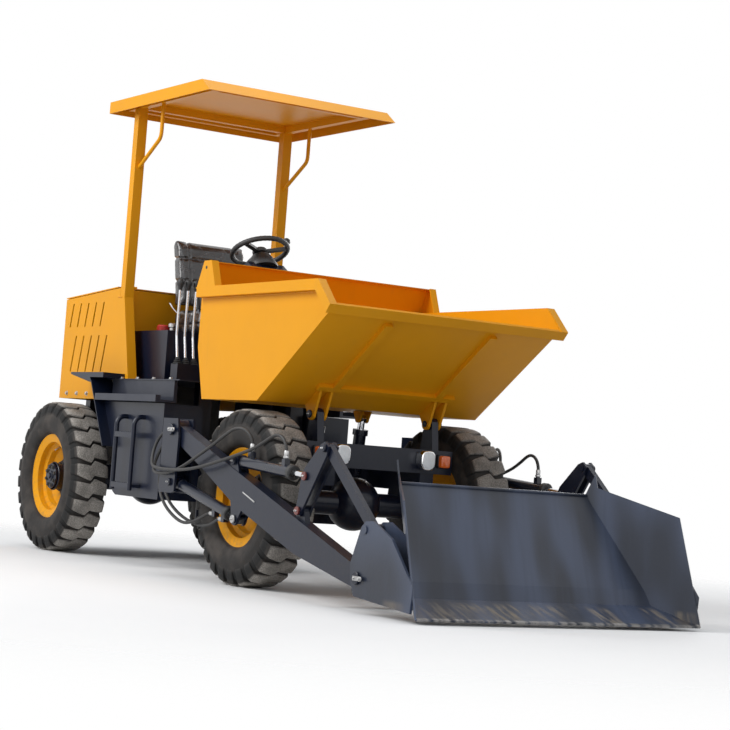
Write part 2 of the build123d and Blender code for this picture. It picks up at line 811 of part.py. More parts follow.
lift_hose_pair = (
    (
        (-144, -698, 590),
        (-182, -698, 590),
        (-213, -699, 577),
        (-237, -700, 553),
        (-250, -701, 522),
        (-250, -703, 488),
        (-237, -705, 457),
        (-200, -708, 415),
        (-130, -713, 366),
        (-15, -718, 318),
        (120, -722, 286),
        (260, -723, 273),
        (370, -726, 290),
        (430, -730, 320.3),
        (469.6, -730, 320.3),
    ),
    (
        (-144, -722, 572),
        (-182, -722, 572),
        (-213, -722, 559),
        (-237, -722, 535),
        (-250, -722, 504),
        (-250, -722, 470),
        (-237, -724, 439),
        (-202, -729, 397),
        (-132, -736, 348),
        (-20, -744, 304),
        (100, -750, 276),
        (205, -749, 288),
        (280, -741, 316),
        (334, -730, 341.7),
        (371.9, -730, 341.7),
    ),
)
hose_routes = (tilt_rod_hose, tilt_base_hose, *lift_hose_pair)


def hose(points):
    """A hose along its route, each corner as round as its two runs allow."""
    points = [Vector(*point) for point in points]
    radii = []
    for before, corner, after in zip(points, points[1:], points[2:]):
        turn = math.radians((corner - before).get_angle(after - corner))
        shorter = min((corner - before).length, (after - corner).length)
        radii.append(0.45 * shorter / math.tan(turn / 2))
    with BuildLine() as path:
        FilletPolyline(*points, radius=radii)
    with BuildSketch(Plane(origin=path.line @ 0, z_dir=path.line % 0)) as section:
        Circle(hose_radius)
    sweep(section.sketch, path=path.line)
    print("hose", round(sum(edge.length for edge in path.edges())), "mm, tightest bend", round(min(radii)))


def make_hoses():
    for name, routes in (
        ("tilt_rod_hoses", [tilt_rod_hose]),
        ("tilt_base_hoses", [tilt_base_hose]),
        ("lift_hoses", lift_hose_pair),
    ):
        with BuildPart() as hoses:
            for route in routes:
                hose(route)
            mirror(about=Plane.XZ)
        write(name, hoses.part)


def make_front_frame():
    end_x = pivot_x + fork_root - 20
    nose_x = ahead_of_front(lamp_plate_x)
    with BuildPart() as sides:
        block((end_x + thick_plate, -rail_outer, rail_bottom), (nose_x, -rail_inner, rail_top))
        # skip hinge brackets
        x, z = skip_hinge
        outline = boss_outline([(x + 62, rail_top - 10), (x - 80, rail_top - 10)], skip_hinge, 32, 180, 0)
        slab(outline, rail_outer - 10, rail_outer + 28)
        cross_bar(skip_hinge, 16, rail_outer - 36, rail_outer + 54)
        mirror(about=Plane.XZ)
    write("front_side_members", sides.part)

    with BuildPart() as fork:
        block((end_x, -rail_outer, tongue_z[0][0]), (end_x + thick_plate, rail_outer, rail_top))
        for bottom, top in tongue_z:
            pivot_plate(end_x, bottom, top)
            with BuildSketch(Plane.XY.offset(bottom - 1)):
                with Locations((pivot_x, 0)):
                    Circle(pivot_pin_radius + pin_play)
            extrude(amount=top - bottom + 2, mode=Mode.SUBTRACT)
        with BuildSketch(Plane.YZ.offset(end_x - 1)):
            with Locations((0, shaft_z)):
                Circle(shaft_radius + 45)
        extrude(amount=thick_plate + 2, mode=Mode.SUBTRACT)
        # steering ram ears
        eye_x, eye_y = steer_ram_eye
        for z in (steer_ram_z - 34, steer_ram_z + 22):
            block((eye_x - 24, eye_y - 33, z), (end_x + 2, eye_y + 45, z + thick_plate))
    write("front_fork", fork.part)

    with BuildPart() as nose:
        block((nose_x, -430, 612), (nose_x + thick_plate, 430, 731))
    write("lamp_plate", nose.part)

    base_x, base_z = skip_ram_base
    with BuildPart() as mount:
        block((base_x - 60, -rail_inner, rail_bottom), (base_x - 48, rail_inner, rail_top))
        for side in (-skip_ram_y, skip_ram_y):
            for y in (side - ram_ear_inner - thick_plate, side + ram_ear_inner):
                block((base_x - 60, y, base_z - 28), (base_x + 22, y + thick_plate, base_z + 28))
                block((base_x - 60, y, base_z - 28), (base_x - 48, y + thick_plate, rail_bottom + 20))
            cross_bar(skip_ram_base, 14, side - ram_ear_inner - 20, side + ram_ear_inner + 20)
    write("skip_ram_mount", mount.part)

    with BuildPart() as brackets:
        px, pz = arm_pivot
        rear, low, high = px - 100, pz - 320, pz + 57
        outline = [(rear, low), (rear, high), (px + 60, high), (px + 78, pz - 40), (px + 70, low + 10), (px + 40, low)]
        for near, far in (bracket_inner, bracket_outer):
            slab(outline, near, far)
        block((rear, -bracket_outer[1], low), (rear + thick_plate, -bracket_inner[0], high))
        block((rear, -bracket_inner[0] - 1, 560), (px + 20, -rail_outer, 660))  # beam from the side member
        cross_bar(arm_pivot, arm_pin, bracket_inner[0] - 8, bracket_outer[1] + 8)
        cross_bar(lift_base, 16, bracket_inner[0] - 6, bracket_outer[1] + 6)
        for route in hose_routes:
            x, y, z = route[0]
            with BuildSketch(Plane(origin=(x, y, z), z_dir=(1, 0, 0))) as fitting:
                Circle(12)
            extrude(fitting.sketch, amount=rear - x)
        mirror(about=Plane.XZ)
    write("arm_brackets", brackets.part)

    lens_x = nose_x + thick_plate
    with BuildPart() as lamps:
        with BuildSketch(Plane.YZ.offset(lens_x)):
            with Locations((-251, 677)):
                RectangleRounded(84, 96, 24)
        extrude(amount=60)
        mirror(about=Plane.XZ)
    write("headlamps", lamps.part)
    with BuildPart() as signals:
        with BuildSketch(Plane.YZ.offset(lens_x)):
            with Locations((-365, 677)):
                RectangleRounded(62, 68, 14)
        extrude(amount=45)
        mirror(about=Plane.XZ)
    write("turn_signals", signals.part)


# ---- skip ---------------------------------------------------------------------------------------------------
skip_floor_z = 905.0
skip_rim_z = 1475.0


def make_skip():
    back, floor_rear, floor_front = ahead_of_front(-565), ahead_of_front(-482), ahead_of_front(90)
    lip_x, lip_z = ahead_of_front(735), 1345.0
    rim_front = ahead_of_front(645)
    nose_x, nose_z = ahead_of_front(771), 1354.0
    half = skip_half_width
    kink_z = 1170.0
    slope = (lip_z - skip_floor_z) / (lip_x - floor_front)
    sheet_up = skip_sheet * math.hypot(1, slope)  # height of the sheet measured straight up
    outline = [
        (back, skip_rim_z),
        (back, kink_z),
        (floor_rear, skip_floor_z),
        (floor_front, skip_floor_z),
        (lip_x, lip_z),
        (nose_x - 8, nose_z),
        (rim_front, skip_rim_z),
    ]
    far = 400.0
    inside = [
        (back + skip_sheet, skip_rim_z + far),
        (back + skip_sheet, kink_z),
        (floor_rear + skip_sheet, skip_floor_z + skip_sheet),
        (floor_front, skip_floor_z + skip_sheet),
        (lip_x + far, lip_z + sheet_up + slope * far),
        (lip_x + far, skip_rim_z + far),
    ]
    with BuildPart() as skip:
        slab(outline, -half, half)
        with BuildSketch(Plane.XZ.offset(-half + skip_sheet)):
            with BuildLine():
                Polyline(*inside, close=True)
            make_face()
        extrude(amount=2 * (half - skip_sheet), mode=Mode.SUBTRACT)
        # rim round the sides, its end plates, and the lip across the front
        rim = strip([(back + 9, skip_rim_z), (rim_front, skip_rim_z), (nose_x, nose_z)], skip_rim_height)
        slab(rim, half - 1, half + skip_rim_width)
        lip = [(lip_x - 14, lip_z - 6), (lip_x - 6, lip_z + 8), (nose_x, nose_z), (nose_x - 36, nose_z - 40)]
        slab(lip, 0, half + skip_rim_width)
        # rear guard with its gussets
        guard = [(back + 9, skip_rim_z), (back + 72, 1607), (back + 150, 1607), (back + 205, skip_rim_z)]
        slab(guard, half + skip_rim_width - 6, half + skip_rim_width)
        slab(strip([guard[3], guard[2]], -6), half - 1, half + skip_rim_width)
        slab(strip([(back, skip_rim_z - 4), guard[0], guard[1], (guard[1][0] + 40, guard[1][1])], 5), 0, half + skip_rim_width)
        # hinge lugs
        hx, hz = skip_hinge
        lug = boss_outline([(hx + 85, skip_floor_z + slope * (hx + 85 - floor_front) + 1), (hx - 58, skip_floor_z + 1)], skip_hinge, 30, 180, 360)
        for near in (rail_outer - 10 - side_play - 14, rail_outer + 28 + side_play):
            slab(lug, near, near + 14)
        bore(skip_hinge, 16, rail_outer - 60, rail_outer + 60)
        # ribs under the sloping front and a stiffener across it
        rib = [(x, skip_floor_z + slope * (x - floor_front) + 1) for x in (hx + 90, lip_x - 60)]
        slab(strip(rib, 22), 282, 322)
        mirror(about=Plane.XZ)
        bar = [(x, skip_floor_z + slope * (x - floor_front) + 1) for x in (hx + 66, hx + 94)]
        slab(strip(bar, 22), -400, 400)
        # ears for the tipping ram
        ex, ez = skip_ram_eye
        ear = boss_outline([(ex + 45, skip_floor_z + 1), (ex - 45, skip_floor_z + 1)], skip_ram_eye, 22, 180, 360)
        for side in (-skip_ram_y, skip_ram_y):
            for near in (side - 18 - thick_plate, side + 18):
                slab(ear, near, near + thick_plate)
    write("skip", skip.part)

    ram_length = math.dist(skip_ram_base, skip_ram_eye)
    with BuildPart() as ram:
        barrel(skip_ram_base, skip_ram_eye, -skip_ram_y, ram_length - 55, 32.0, 18.0, 22.0, 60.0)
        bore(skip_ram_base, 14, skip_ram_y - 40, skip_ram_y + 40)
        mirror(about=Plane.XZ)
    write("skip_ram_barrels", ram.part)
    with BuildPart() as stem:
        rod(skip_ram_base, skip_ram_eye, -skip_ram_y, ram_length - 80, 18.0, 20.0, 30.0)
        mirror(about=Plane.XZ)
    write("skip_ram_rods", stem.part)


# ---- loader -------------------------------------------------------------------------------------------------
port_size = 28.0  # hose blocks on the loader's cylinders
hose_ports = {"lift": (430.0, 530.0), "tilt": (115.0, 440.0)}  # distances from the base eye
ferrule_radius = 11.0
ferrule_length = 14.0
lug_inner = (arm_middle - lug_gap / 2 - 2 - thick_plate, arm_middle - lug_gap / 2 - 2)
lug_outer = (arm_middle + lug_gap / 2 + 2, arm_middle + lug_gap / 2 + 2 + thick_plate)


def arm_top(x):
    """Height of the arm's straight upper edge, from above its pin to behind the shovel's."""
    start, end = (arm_pivot[0], arm_pivot[1] + 36), (shovel_pivot[0] - 60, shovel_pivot[1] + 54)
    return start[1] + (end[1] - start[1]) * (x - start[0]) / (end[0] - start[0])


def make_arms():
    px, pz = arm_pivot
    bx, bz = shovel_pivot
    knee_x = bx - 575  # the belly of the arm, under the lever's pin
    arm = [
        (px, arm_top(px)),
        (px - 40, pz + 17),
        (px - 40, pz - 25),
        (px, pz - 50),
        (px + 330, arm_top(px + 330) - 116),
        (lift_eye[0], arm_top(lift_eye[0]) - 162),
        (knee_x, arm_top(knee_x) - 160),
        (bx - 20, bz - 51),
        (bx + 30, bz - 51),
        (bx + 55, bz),
        (bx + 35, bz + 40),
        (bx - 60, arm_top(bx - 60)),
    ]
    with BuildPart() as arms:
        slab(arm, arm_inner, arm_outer)
        cross_bar(arm_pivot, arm_pin + 28, arm_inner, arm_outer)
        cross_bar(shovel_pivot, shovel_pin + 30, arm_inner, arm_outer)
        lx, tx, vx = lift_eye[0], tilt_base[0], lever_pivot[0]
        for near, far in (lug_inner, lug_outer):
            feet = [(lx + 95, arm_top(lx + 95) - 110), (lx - 60, arm_top(lx - 60) - 110)]
            slab(boss_outline(feet, lift_eye, 30, 180, 360), near, far)
            feet = [(tx - 70, arm_top(tx - 70) - 40), (tx + 70, arm_top(tx + 70) - 40)]
            slab(boss_outline(feet, tilt_base, 30, 0, 180), near, far)
        feet = [(vx - 60, arm_top(vx - 60) - 40), (vx + 60, arm_top(vx + 60) - 40)]
        slab(boss_outline(feet, lever_pivot, 28, 0, 180), arm_middle - lug_gap / 2, arm_middle + lug_gap / 2)
        for point, radius in ((arm_pivot, arm_pin), (shovel_pivot, shovel_pin), (lever_pivot, 16)):
            bore(point, radius, arm_inner - 1, arm_outer + 1)
        cross_bar(tilt_base, 16, lug_inner[0] - 5, lug_outer[1] + 5)
        # pin heads outside the lift lugs, whose eye is open
        for near, far in ((lug_inner[0] - 5, lug_inner[0] + 1), (lug_outer[1] - 1, lug_outer[1] + 5)):
            cross_bar(lift_eye, 18, near, far)
        cross_x = bx - 340
        block((cross_x, -arm_inner - 1, arm_top(cross_x + 80) - 112), (cross_x + 80, 0, arm_top(cross_x + 80) - 37))
        mirror(about=Plane.XZ)
    write("loader_arms", arms.part)

    with BuildPart() as levers:
        vx, vz = lever_pivot
        ex, ez = tilt_eye
        wx, wz = lever_top
        body = [
            (vx - 28, vz - 4),
            (vx - 14, vz - 25),
            (vx + 16, vz - 24),
            (vx + 40, vz + 20),
            (wx + 20, wz - 30),
            (wx + 30, wz + 8),
            (wx, wz + 30),
            (wx - 34, wz + 18),
            (ex - 16, ez + 34),
            (ex - 34, ez),
        ]
        for pair in (lug_inner, lug_outer):
            slab(body, *pair)
        cross_bar(lever_pivot, 16, lug_inner[0] - 5, lug_outer[1] + 5)
        cross_bar(lever_top, 14, lug_inner[0] - 5, lug_outer[1] + 5)
        for near, far in ((lug_inner[0] - 5, lug_inner[0] + 1), (lug_outer[1] - 1, lug_outer[1] + 5)):
            cross_bar(tilt_eye, 18, near, far)
        mirror(about=Plane.XZ)
    write("tilt_levers", levers.part)

    with BuildPart() as links:
        near, far = arm_middle - lug_gap / 2, arm_middle + lug_gap / 2
        with BuildSketch(along(lever_top, link_foot, -arm_middle)):
            Rectangle(lug_gap, 46)
        extrude(amount=math.dist(lever_top, link_foot))
        cross_bar(lever_top, 24, near, far)
        cross_bar(link_foot, 28, arm_inner, arm_outer)
        bore(lever_top, 14, near - 1, far + 1)
        mirror(about=Plane.XZ)
    write("tilt_links", links.part)


def port_block(name, start, end, distance):
    """A block for a hose on a barrel: the tilt ram's are above it and open upwards, the lift ram's below, rearwards."""
    line = along(start, end, -arm_middle)
    middle = line.origin + line.z_dir * distance
    half = port_size / 2
    if name == "tilt":
        low, high = middle.Z + barrel_radius - 8, middle.Z + barrel_radius + port_size
        mouth = Plane(origin=(middle.X, -arm_middle, high))
    else:
        low, high = middle.Z - barrel_radius - port_size, middle.Z - barrel_radius + 8
        mouth = Plane(origin=(middle.X - half, -arm_middle, low + half), z_dir=(-1, 0, 0))
    block((middle.X - half, -arm_middle - half, low), (middle.X + half, -arm_middle + half, high))
    with BuildSketch(mouth) as ferrule:
        Circle(ferrule_radius)
    extrude(ferrule.sketch, amount=ferrule_length)
    return mouth.origin + mouth.z_dir * ferrule_length


def make_loader_rams():
    side = -arm_middle
    for name, start, end, exposed, covered, eye_width in (
        ("lift", lift_base, lift_eye, 90.0, 80.0, 50.0),
        ("tilt", tilt_base, tilt_eye, 150.0, 145.0, lug_gap),
    ):
        length = math.dist(start, end)
        with BuildPart() as ram:
            barrel(start, end, side, length - exposed, barrel_radius, rod_radius, 30.0, eye_width)
            bore(start, 16, arm_middle - 40, arm_middle + 40)
            for distance in hose_ports[name]:
                mouth = port_block(name, start, end, distance)
                print(name, "hose ends at", [round(value, 1) for value in mouth])
            mirror(about=Plane.XZ)
        write(f"{name}_barrels", ram.part)
        with BuildPart() as stem:
            rod(start, end, side, length - covered, rod_radius, 26.0, lug_gap)
            mirror(about=Plane.XZ)
        write(f"{name}_rods", stem.part)


def make_shovel():
    """Sides flare outwards to the front; each lies in the plane on which flare_y gives its y."""
    bx, bz = shovel_pivot
    top = (bx - 110, bz + 422)
    bend = (bx + 210, bz + 10)
    heel = (bx + 250, bz - 58)
    edge = (bx + shovel_reach, bz - 128)
    back_half = 520.0  # half the back plate's width at its top
    flare_x, flare_z = 0.62, 0.19  # how far a side moves out for each step forward or up
    side_sheet = 8.0

    def flare_y(x, z):
        return -(back_half + flare_x * (x - top[0]) + flare_z * (z - top[1]))

    normal = (-flare_x, -1, -flare_z)
    flare = Plane(origin=(top[0], flare_y(*top), top[1]), x_dir=(1, -flare_x, 0), z_dir=normal)
    kx, kz = link_foot
    with BuildPart() as ears:
        ear = [
            (bx - 50, bz - 20),
            (bx - 20, bz - 78),
            (bx + 420, bz - 110),
            (bx + 430, bz),
            (bx + 250, bz + 185),
            (kx + 60, kz + 40),
            (kx, kz + 36),
            (kx - 32, kz + 10),
            (bx - 62, bz + 60),
        ]
        for near, far in (bracket_inner, bracket_outer):
            slab(ear, near, far)
        split(bisect_by=flare.offset(side_sheet / 2), keep=Keep.TOP)
    with BuildPart() as shovel:
        slab(strip([top, bend, heel, edge], 8), 0, 900)
        split(bisect_by=flare.offset(side_sheet / 2), keep=Keep.BOTTOM)
        side = [
            top,
            (top[0] + 23, top[1] + 97),
            (top[0] + 44, top[1] + 35),
            (bx + 290, bz + 350),
            edge,
            heel,
            bend,
        ]
        corners = [flare.to_local_coords(Vector(x, flare_y(x, z), z)) for x, z in side]
        with BuildSketch(flare):
            with BuildLine():
                Polyline(*[(c.X, c.Y) for c in corners], close=True)
            make_face()
        extrude(amount=side_sheet)
        add(ears.part)
        cross_bar(shovel_pivot, shovel_pin, bracket_inner[0] - 6, bracket_outer[1] + 6)
        for near, far in ((bracket_inner[0] - 6, bracket_inner[0] + 1), (bracket_outer[1] - 1, bracket_outer[1] + 6)):
            cross_bar(link_foot, 18, near, far)
        mirror(about=Plane.XZ)
    write("shovel", shovel.part)


make_wheels()
make_axle("rear_axle", axle_rear_x)
make_axle("front_axle", axle_front_x)
make_rear_frame()
make_engine()
make_hood()
make_canopy()
make_operator_place()
make_deck()
make_steering_ram()
make_front_frame()
make_skip()
make_arms()
make_loader_rams()
make_shovel()
make_hoses()

for name, part in finished:
    box = part.bounding_box()
    print(f"{name:20s} {len(part.solids())} solids  x {box.min.X:.0f}..{box.max.X:.0f}  z {box.min.Z:.0f}..{box.max.Z:.0f}")
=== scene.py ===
"""Dresses the site dumper: hoses, tyres, bolts, pins, padded seat, controls, lamps, finishes and the studio.

Everything is in metres, in the frame's own axes: +X forward, +Y to the left, +Z up.
Right and left pieces are made by a loop over SIDES, whose values are the signs of y.
"""

import json
import math

import bpy
from mathutils import Matrix, Vector


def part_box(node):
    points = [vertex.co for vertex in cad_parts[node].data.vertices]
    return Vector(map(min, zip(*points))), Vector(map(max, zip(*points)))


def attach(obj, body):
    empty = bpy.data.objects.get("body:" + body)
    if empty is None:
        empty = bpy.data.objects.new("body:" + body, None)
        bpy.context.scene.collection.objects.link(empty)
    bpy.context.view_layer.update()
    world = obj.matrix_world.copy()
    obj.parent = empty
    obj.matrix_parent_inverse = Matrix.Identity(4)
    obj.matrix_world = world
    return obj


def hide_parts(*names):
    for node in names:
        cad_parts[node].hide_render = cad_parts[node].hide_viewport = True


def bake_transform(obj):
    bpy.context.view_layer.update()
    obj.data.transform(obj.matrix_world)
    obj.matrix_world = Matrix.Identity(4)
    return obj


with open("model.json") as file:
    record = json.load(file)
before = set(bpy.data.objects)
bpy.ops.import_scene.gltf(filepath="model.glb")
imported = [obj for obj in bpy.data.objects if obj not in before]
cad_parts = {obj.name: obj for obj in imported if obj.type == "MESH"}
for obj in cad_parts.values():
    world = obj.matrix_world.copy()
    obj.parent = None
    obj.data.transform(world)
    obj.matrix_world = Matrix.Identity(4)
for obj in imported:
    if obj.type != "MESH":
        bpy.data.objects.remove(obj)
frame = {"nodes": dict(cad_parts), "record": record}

bl_info = {
    "name": "Site dumper",
    "version": (1, 0, 0),
    "blender": (4, 2, 0),
    "location": "View3D > Sidebar > Dumper",
    "description": "Dresses the frame of an articulated site dumper",
    "category": "Object",
}

SIDES = {"right": -1, "left": 1}
CORNERS = [f"{end}_{side}" for end in ("front", "rear") for side in SIDES]
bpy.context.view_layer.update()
JOINTS = {joint["name"]: joint for joint in frame["record"]["behaviour"]["joints"]}
UP = Vector((0, 0, 1))
ACROSS = Vector((0, 1, 0))
AHEAD = Vector((1, 0, 0))


# ---- what a user would change ----
def a_length(name, description, default):
    return bpy.props.FloatProperty(name=name, description=description, default=default, unit="LENGTH")


def an_angle(name, description, degrees):
    value = math.radians(degrees)
    return bpy.props.FloatProperty(name=name, description=description, default=value, unit="ROTATION")


def a_colour(name, description, default):
    return bpy.props.FloatVectorProperty(
        name=name, description=description, default=default, subtype="COLOR"
    )


class WheelSizes(bpy.types.PropertyGroup):
    """Tread and bolts of the four wheels."""

    lugs: bpy.props.IntProperty(
        name="Lugs", description="Tread blocks round each tyre", default=26, min=12, max=40
    )
    lug_height: a_length("Lug height", "Depth of the tread grooves", 0.016)
    groove: a_length("Groove", "Width of a groove in the tread's middle", 0.022)
    zigzag: a_length("Zigzag", "How far each groove steps round the tyre", 0.016)
    nut: a_length("Wheel nut", "Width of a wheel nut across its flats", 0.027)


class PieceSizes(bpy.types.PropertyGroup):
    """Hoses and the padded seat."""

    hose: a_length("Hose", "Outer diameter of the hydraulic hoses", 0.016)
    seat_crown: a_length("Seat crown", "How far the filling may push the seat's cover out", 0.012)


class FinishColours(bpy.types.PropertyGroup):
    """Colours of the paints and of the rubber."""

    yellow: a_colour("Yellow", "Paint of the skip, hood and canopy", (0.8, 0.34, 0.004))
    navy: a_colour("Navy", "Paint of the frame and the loader", (0.0052, 0.0085, 0.0215))
    shovel: a_colour("Shovel", "Paint of the shovel", (0.026, 0.034, 0.056))
    rubber: a_colour("Rubber", "Dusty rubber of the tread", (0.34, 0.315, 0.285))


class StudioSizes(bpy.types.PropertyGroup):
    """Where the camera stands and how bright the lights are."""

    camera_place: bpy.props.FloatVectorProperty(
        name="Camera",
        description="Place of the camera",
        default=(9.078, -5.409, 0.648),
        subtype="TRANSLATION",
    )
    camera_turn: an_angle("Turn", "Angle of the view from straight ahead", 32.25)
    camera_tilt: an_angle("Tilt", "Upward angle of the view", 2.75)
    camera_roll: an_angle("Roll", "Lean of the view", 4.26)
    lens: bpy.props.FloatProperty(name="Lens", description="Focal length in millimetres", default=99.2)
    key_power: bpy.props.FloatProperty(
        name="Key", description="Power of the large light", default=480.0, unit="POWER"
    )


# ---- modelling steps ----
def clear_selection():
    if bpy.context.mode != "OBJECT":
        bpy.ops.object.mode_set(mode="OBJECT")
    bpy.ops.object.select_all(action="DESELECT")


def pick(*pieces):
    clear_selection()
    for piece in pieces:
        piece.select_set(True)
    bpy.context.view_layer.objects.active = pieces[-1]


def edit(piece):
    pick(piece)
    bpy.ops.object.mode_set(mode="EDIT")


def choose_faces(piece, wanted):
    """Selects, in edit mode, the faces for which wanted(centre, normal) is true."""
    edit(piece)
    bpy.ops.mesh.select_mode(type="FACE")
    bpy.ops.mesh.select_all(action="DESELECT")
    bpy.ops.object.mode_set(mode="OBJECT")
    for face in piece.data.polygons:
        face.select = wanted(face.center, face.normal)
    bpy.ops.object.mode_set(mode="EDIT")


def raise_faces(inset, move):
    """Insets the chosen faces, in edit mode, and moves what is inside."""
    bpy.ops.mesh.inset(thickness=inset)
    bpy.ops.transform.translate(value=move)


def face_outwards(piece):
    edit(piece)
    bpy.ops.mesh.select_all(action="SELECT")
    bpy.ops.mesh.remove_doubles(threshold=0.00001)
    bpy.ops.mesh.normals_make_consistent(inside=False)
    bpy.ops.object.mode_set(mode="OBJECT")


def round_edges(piece, width, segments=2, angle=30):
    pick(piece)
    bevel = piece.modifiers.new("edges", "BEVEL")
    bevel.width = width
    bevel.segments = segments
    bevel.limit_method = "ANGLE"
    bevel.angle_limit = math.radians(angle)
    bpy.ops.object.modifier_apply(modifier=bevel.name)
    return piece


def joined(name, pieces):
    pick(*pieces)
    if len(pieces) > 1:
        bpy.ops.object.join()
    piece = bpy.context.object
    piece.name = name
    piece.data.name = name
    return piece


def copies(master, places):
    """A copy of the master, with a mesh of its own, for each matrix. The master itself goes."""
    made = []
    for place in places:
        copy = master.copy()
        copy.data = master.data.copy()
        copy.data.transform(place)
        bpy.context.collection.objects.link(copy)
        made.append(copy)
    bpy.data.objects.remove(master)
    return made


def standing(place, normal=UP, spin=0.0):
    """A matrix that stands a piece made on the XY plane at a place, looking along a normal."""
    turn = Vector(normal).to_track_quat("Z", "Y").to_matrix().to_4x4()
    return Matrix.Translation(place) @ turn @ Matrix.Rotation(spin, 4, "Z")


def done(piece, body, finish, smooth=35):
    """Rests the piece at the origin, shades it and gives it its finish and the body it rides on."""
    pick(piece)
    bpy.ops.object.transform_apply(location=True, rotation=True, scale=True)
    bpy.ops.object.shade_smooth_by_angle(angle=math.radians(smooth))
    if finish is not None:
        piece.data.materials.clear()
        piece.data.materials.append(FINISHES[finish])
    if body is not None:
        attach(piece, body)
    return piece


def outline_block(name, points, depth, place, across, up):
    """A flat outline of (across, up) points, thick along the normal of its two directions."""
    across, up = Vector(across).normalized(), Vector(up).normalized()
    normal = across.cross(up)
    clear_selection()
    bpy.ops.mesh.primitive_circle_add(vertices=len(points), fill_type="NGON")
    piece = bpy.context.object
    for corner, (u, v) in zip(piece.data.vertices, points):
        corner.co = Vector(place) + across * u + up * v
    bpy.ops.object.mode_set(mode="EDIT")
    bpy.ops.mesh.select_all(action="SELECT")
    bpy.ops.mesh.extrude_region_move(TRANSFORM_OT_translate={"value": normal * depth})
    bpy.ops.object.mode_set(mode="OBJECT")
    piece.name = name
    face_outwards(piece)
    return piece


def rounded(width, height, radius, steps=5):
    """Corners of a rectangle with rounded corners, round its middle."""
    points = []
    for quarter, (x, y) in enumerate(((1, 1), (-1, 1), (-1, -1), (1, -1))):
        for step in range(steps + 1):
            angle = math.radians(90 * (quarter + step / steps))
            across = x * (width / 2 - radius) + radius * math.cos(angle)
            points.append((across, y * (height / 2 - radius) + radius * math.sin(angle)))
    return points


def lathe(name, profile, place, axis, steps=32):
    """A closed profile of (along the axis, radius) points, turned round the axis."""
    axis = Vector(axis).normalized()
    out = axis.orthogonal().normalized()
    clear_selection()
    bpy.ops.mesh.primitive_circle_add(vertices=len(profile), fill_type="NOTHING")
    piece = bpy.context.object
    for corner, (along, radius) in zip(piece.data.vertices, profile):
        corner.co = Vector(place) + axis * along + out * radius
    bpy.ops.object.mode_set(mode="EDIT")
    bpy.ops.mesh.select_all(action="SELECT")
    bpy.ops.mesh.spin(steps=steps, angle=math.tau, center=place, axis=axis)
    bpy.ops.object.mode_set(mode="OBJECT")
    piece.name = name
    face_outwards(piece)
    return piece


def turned(name, profile, place, axis, body, finish, steps=32, smooth=35):
    """A lathed piece with its body and finish."""
    return done(lathe(name, profile, place, axis, steps), body, finish, smooth)


def bent_rod(name, points, radius, sides=3):
    """A round rod or pipe along a smooth line that its control points pull, and the points of that line."""
    curve = bpy.data.curves.new(name, "CURVE")
    curve.dimensions = "3D"
    spline = curve.splines.new("NURBS")
    spline.points.add(len(points) - 1)
    for control, point in zip(spline.points, points):
        control.co = (*point, 1)
    spline.order_u = 3
    spline.use_endpoint_u = True
    spline.resolution_u = 8
    pipe = bpy.data.objects.new(name, curve)
    bpy.context.collection.objects.link(pipe)
    line = bpy.data.meshes.new_from_object(pipe)
    path = [tuple(corner.co) for corner in line.vertices]
    bpy.data.meshes.remove(line)
    curve.bevel_depth = radius
    curve.bevel_resolution = sides
    curve.use_fill_caps = True
    pick(pipe)
    bpy.ops.object.convert(target="MESH")
    pipe = bpy.context.object
    pipe.name = name
    face_outwards(pipe)
    return pipe, path


def rod(name, points, radius, body, finish, smooth=35, sides=3):
    """A bent rod with its body and finish."""
    return done(bent_rod(name, points, radius, sides)[0], body, finish, smooth)


def hex_bolt(size):
    """A hexagon head with a chamfered top on a washer, standing on the origin."""
    parts = []
    rows = (  # sides, and as shares of the size: radius, depth, middle's height, chamfer's inset and rise
        (6, 0.577, 0.5, 0.35, 0.07, 0.06),
        (16, 0.85, 0.1, 0.05, 0.05, 0.02),
    )
    for sides, radius, depth, middle, inset, rise in rows:
        clear_selection()
        bpy.ops.mesh.primitive_cylinder_add(
            vertices=sides, radius=size * radius, depth=size * depth, location=(0, 0, size * middle)
        )
        part = bpy.context.object
        bpy.ops.object.transform_apply(location=True)
        choose_faces(part, lambda centre, normal: normal.z > 0.9)
        raise_faces(size * inset, (0, 0, size * rise))
        parts.append(part)
    return joined("bolt", parts)


def bolts(name, body, size, places, finish="zinc"):
    """Bolts at (place, normal) pairs, as one piece."""
    matrices = [standing(place, normal, 0.4 * index) for index, (place, normal) in enumerate(places)]
    return done(joined(name, copies(hex_bolt(size), matrices)), body, finish)


def ring_of(centre, axis, radius, count, start=0.0):
    """Places and the normal of a ring of bolts."""
    axis = Vector(axis).normalized()
    first = axis.orthogonal().normalized()
    turns = [Matrix.Rotation(start + math.tau * index / count, 3, axis) for index in range(count)]
    return [(Vector(centre) + turn @ first * radius, axis) for turn in turns]


# ---- shader maths ----
class Value:
    """A number that varies over a surface. Arithmetic on it adds Math nodes."""

    def __init__(self, finish, socket):
        self.finish = finish
        self.socket = socket

    def math(self, operation, *others):
        inputs = {index + 1: other for index, other in enumerate(others)}
        node = self.finish.add("ShaderNodeMath", {"operation": operation}, {0: self, **inputs})
        return Value(self.finish, node.outputs[0])

    def __add__(self, other):
        return self.math("ADD", other)

    def __sub__(self, other):
        return self.math("SUBTRACT", other)

    def __mul__(self, other):
        return self.math("MULTIPLY", other)

    def __truediv__(self, other):
        return self.math("DIVIDE", other)

    def __rsub__(self, other):
        return self * -1 + other

    __radd__ = __add__
    __rmul__ = __mul__

    def between(self, low, high):
        """0 where the value is low or less, 1 where it is high or more, and smooth between them."""
        inputs = {"Value": self, "From Min": low, "From Max": high}
        node = self.finish.add("ShaderNodeMapRange", {"interpolation_type": "SMOOTHSTEP"}, inputs)
        return Value(self.finish, node.outputs["Result"])


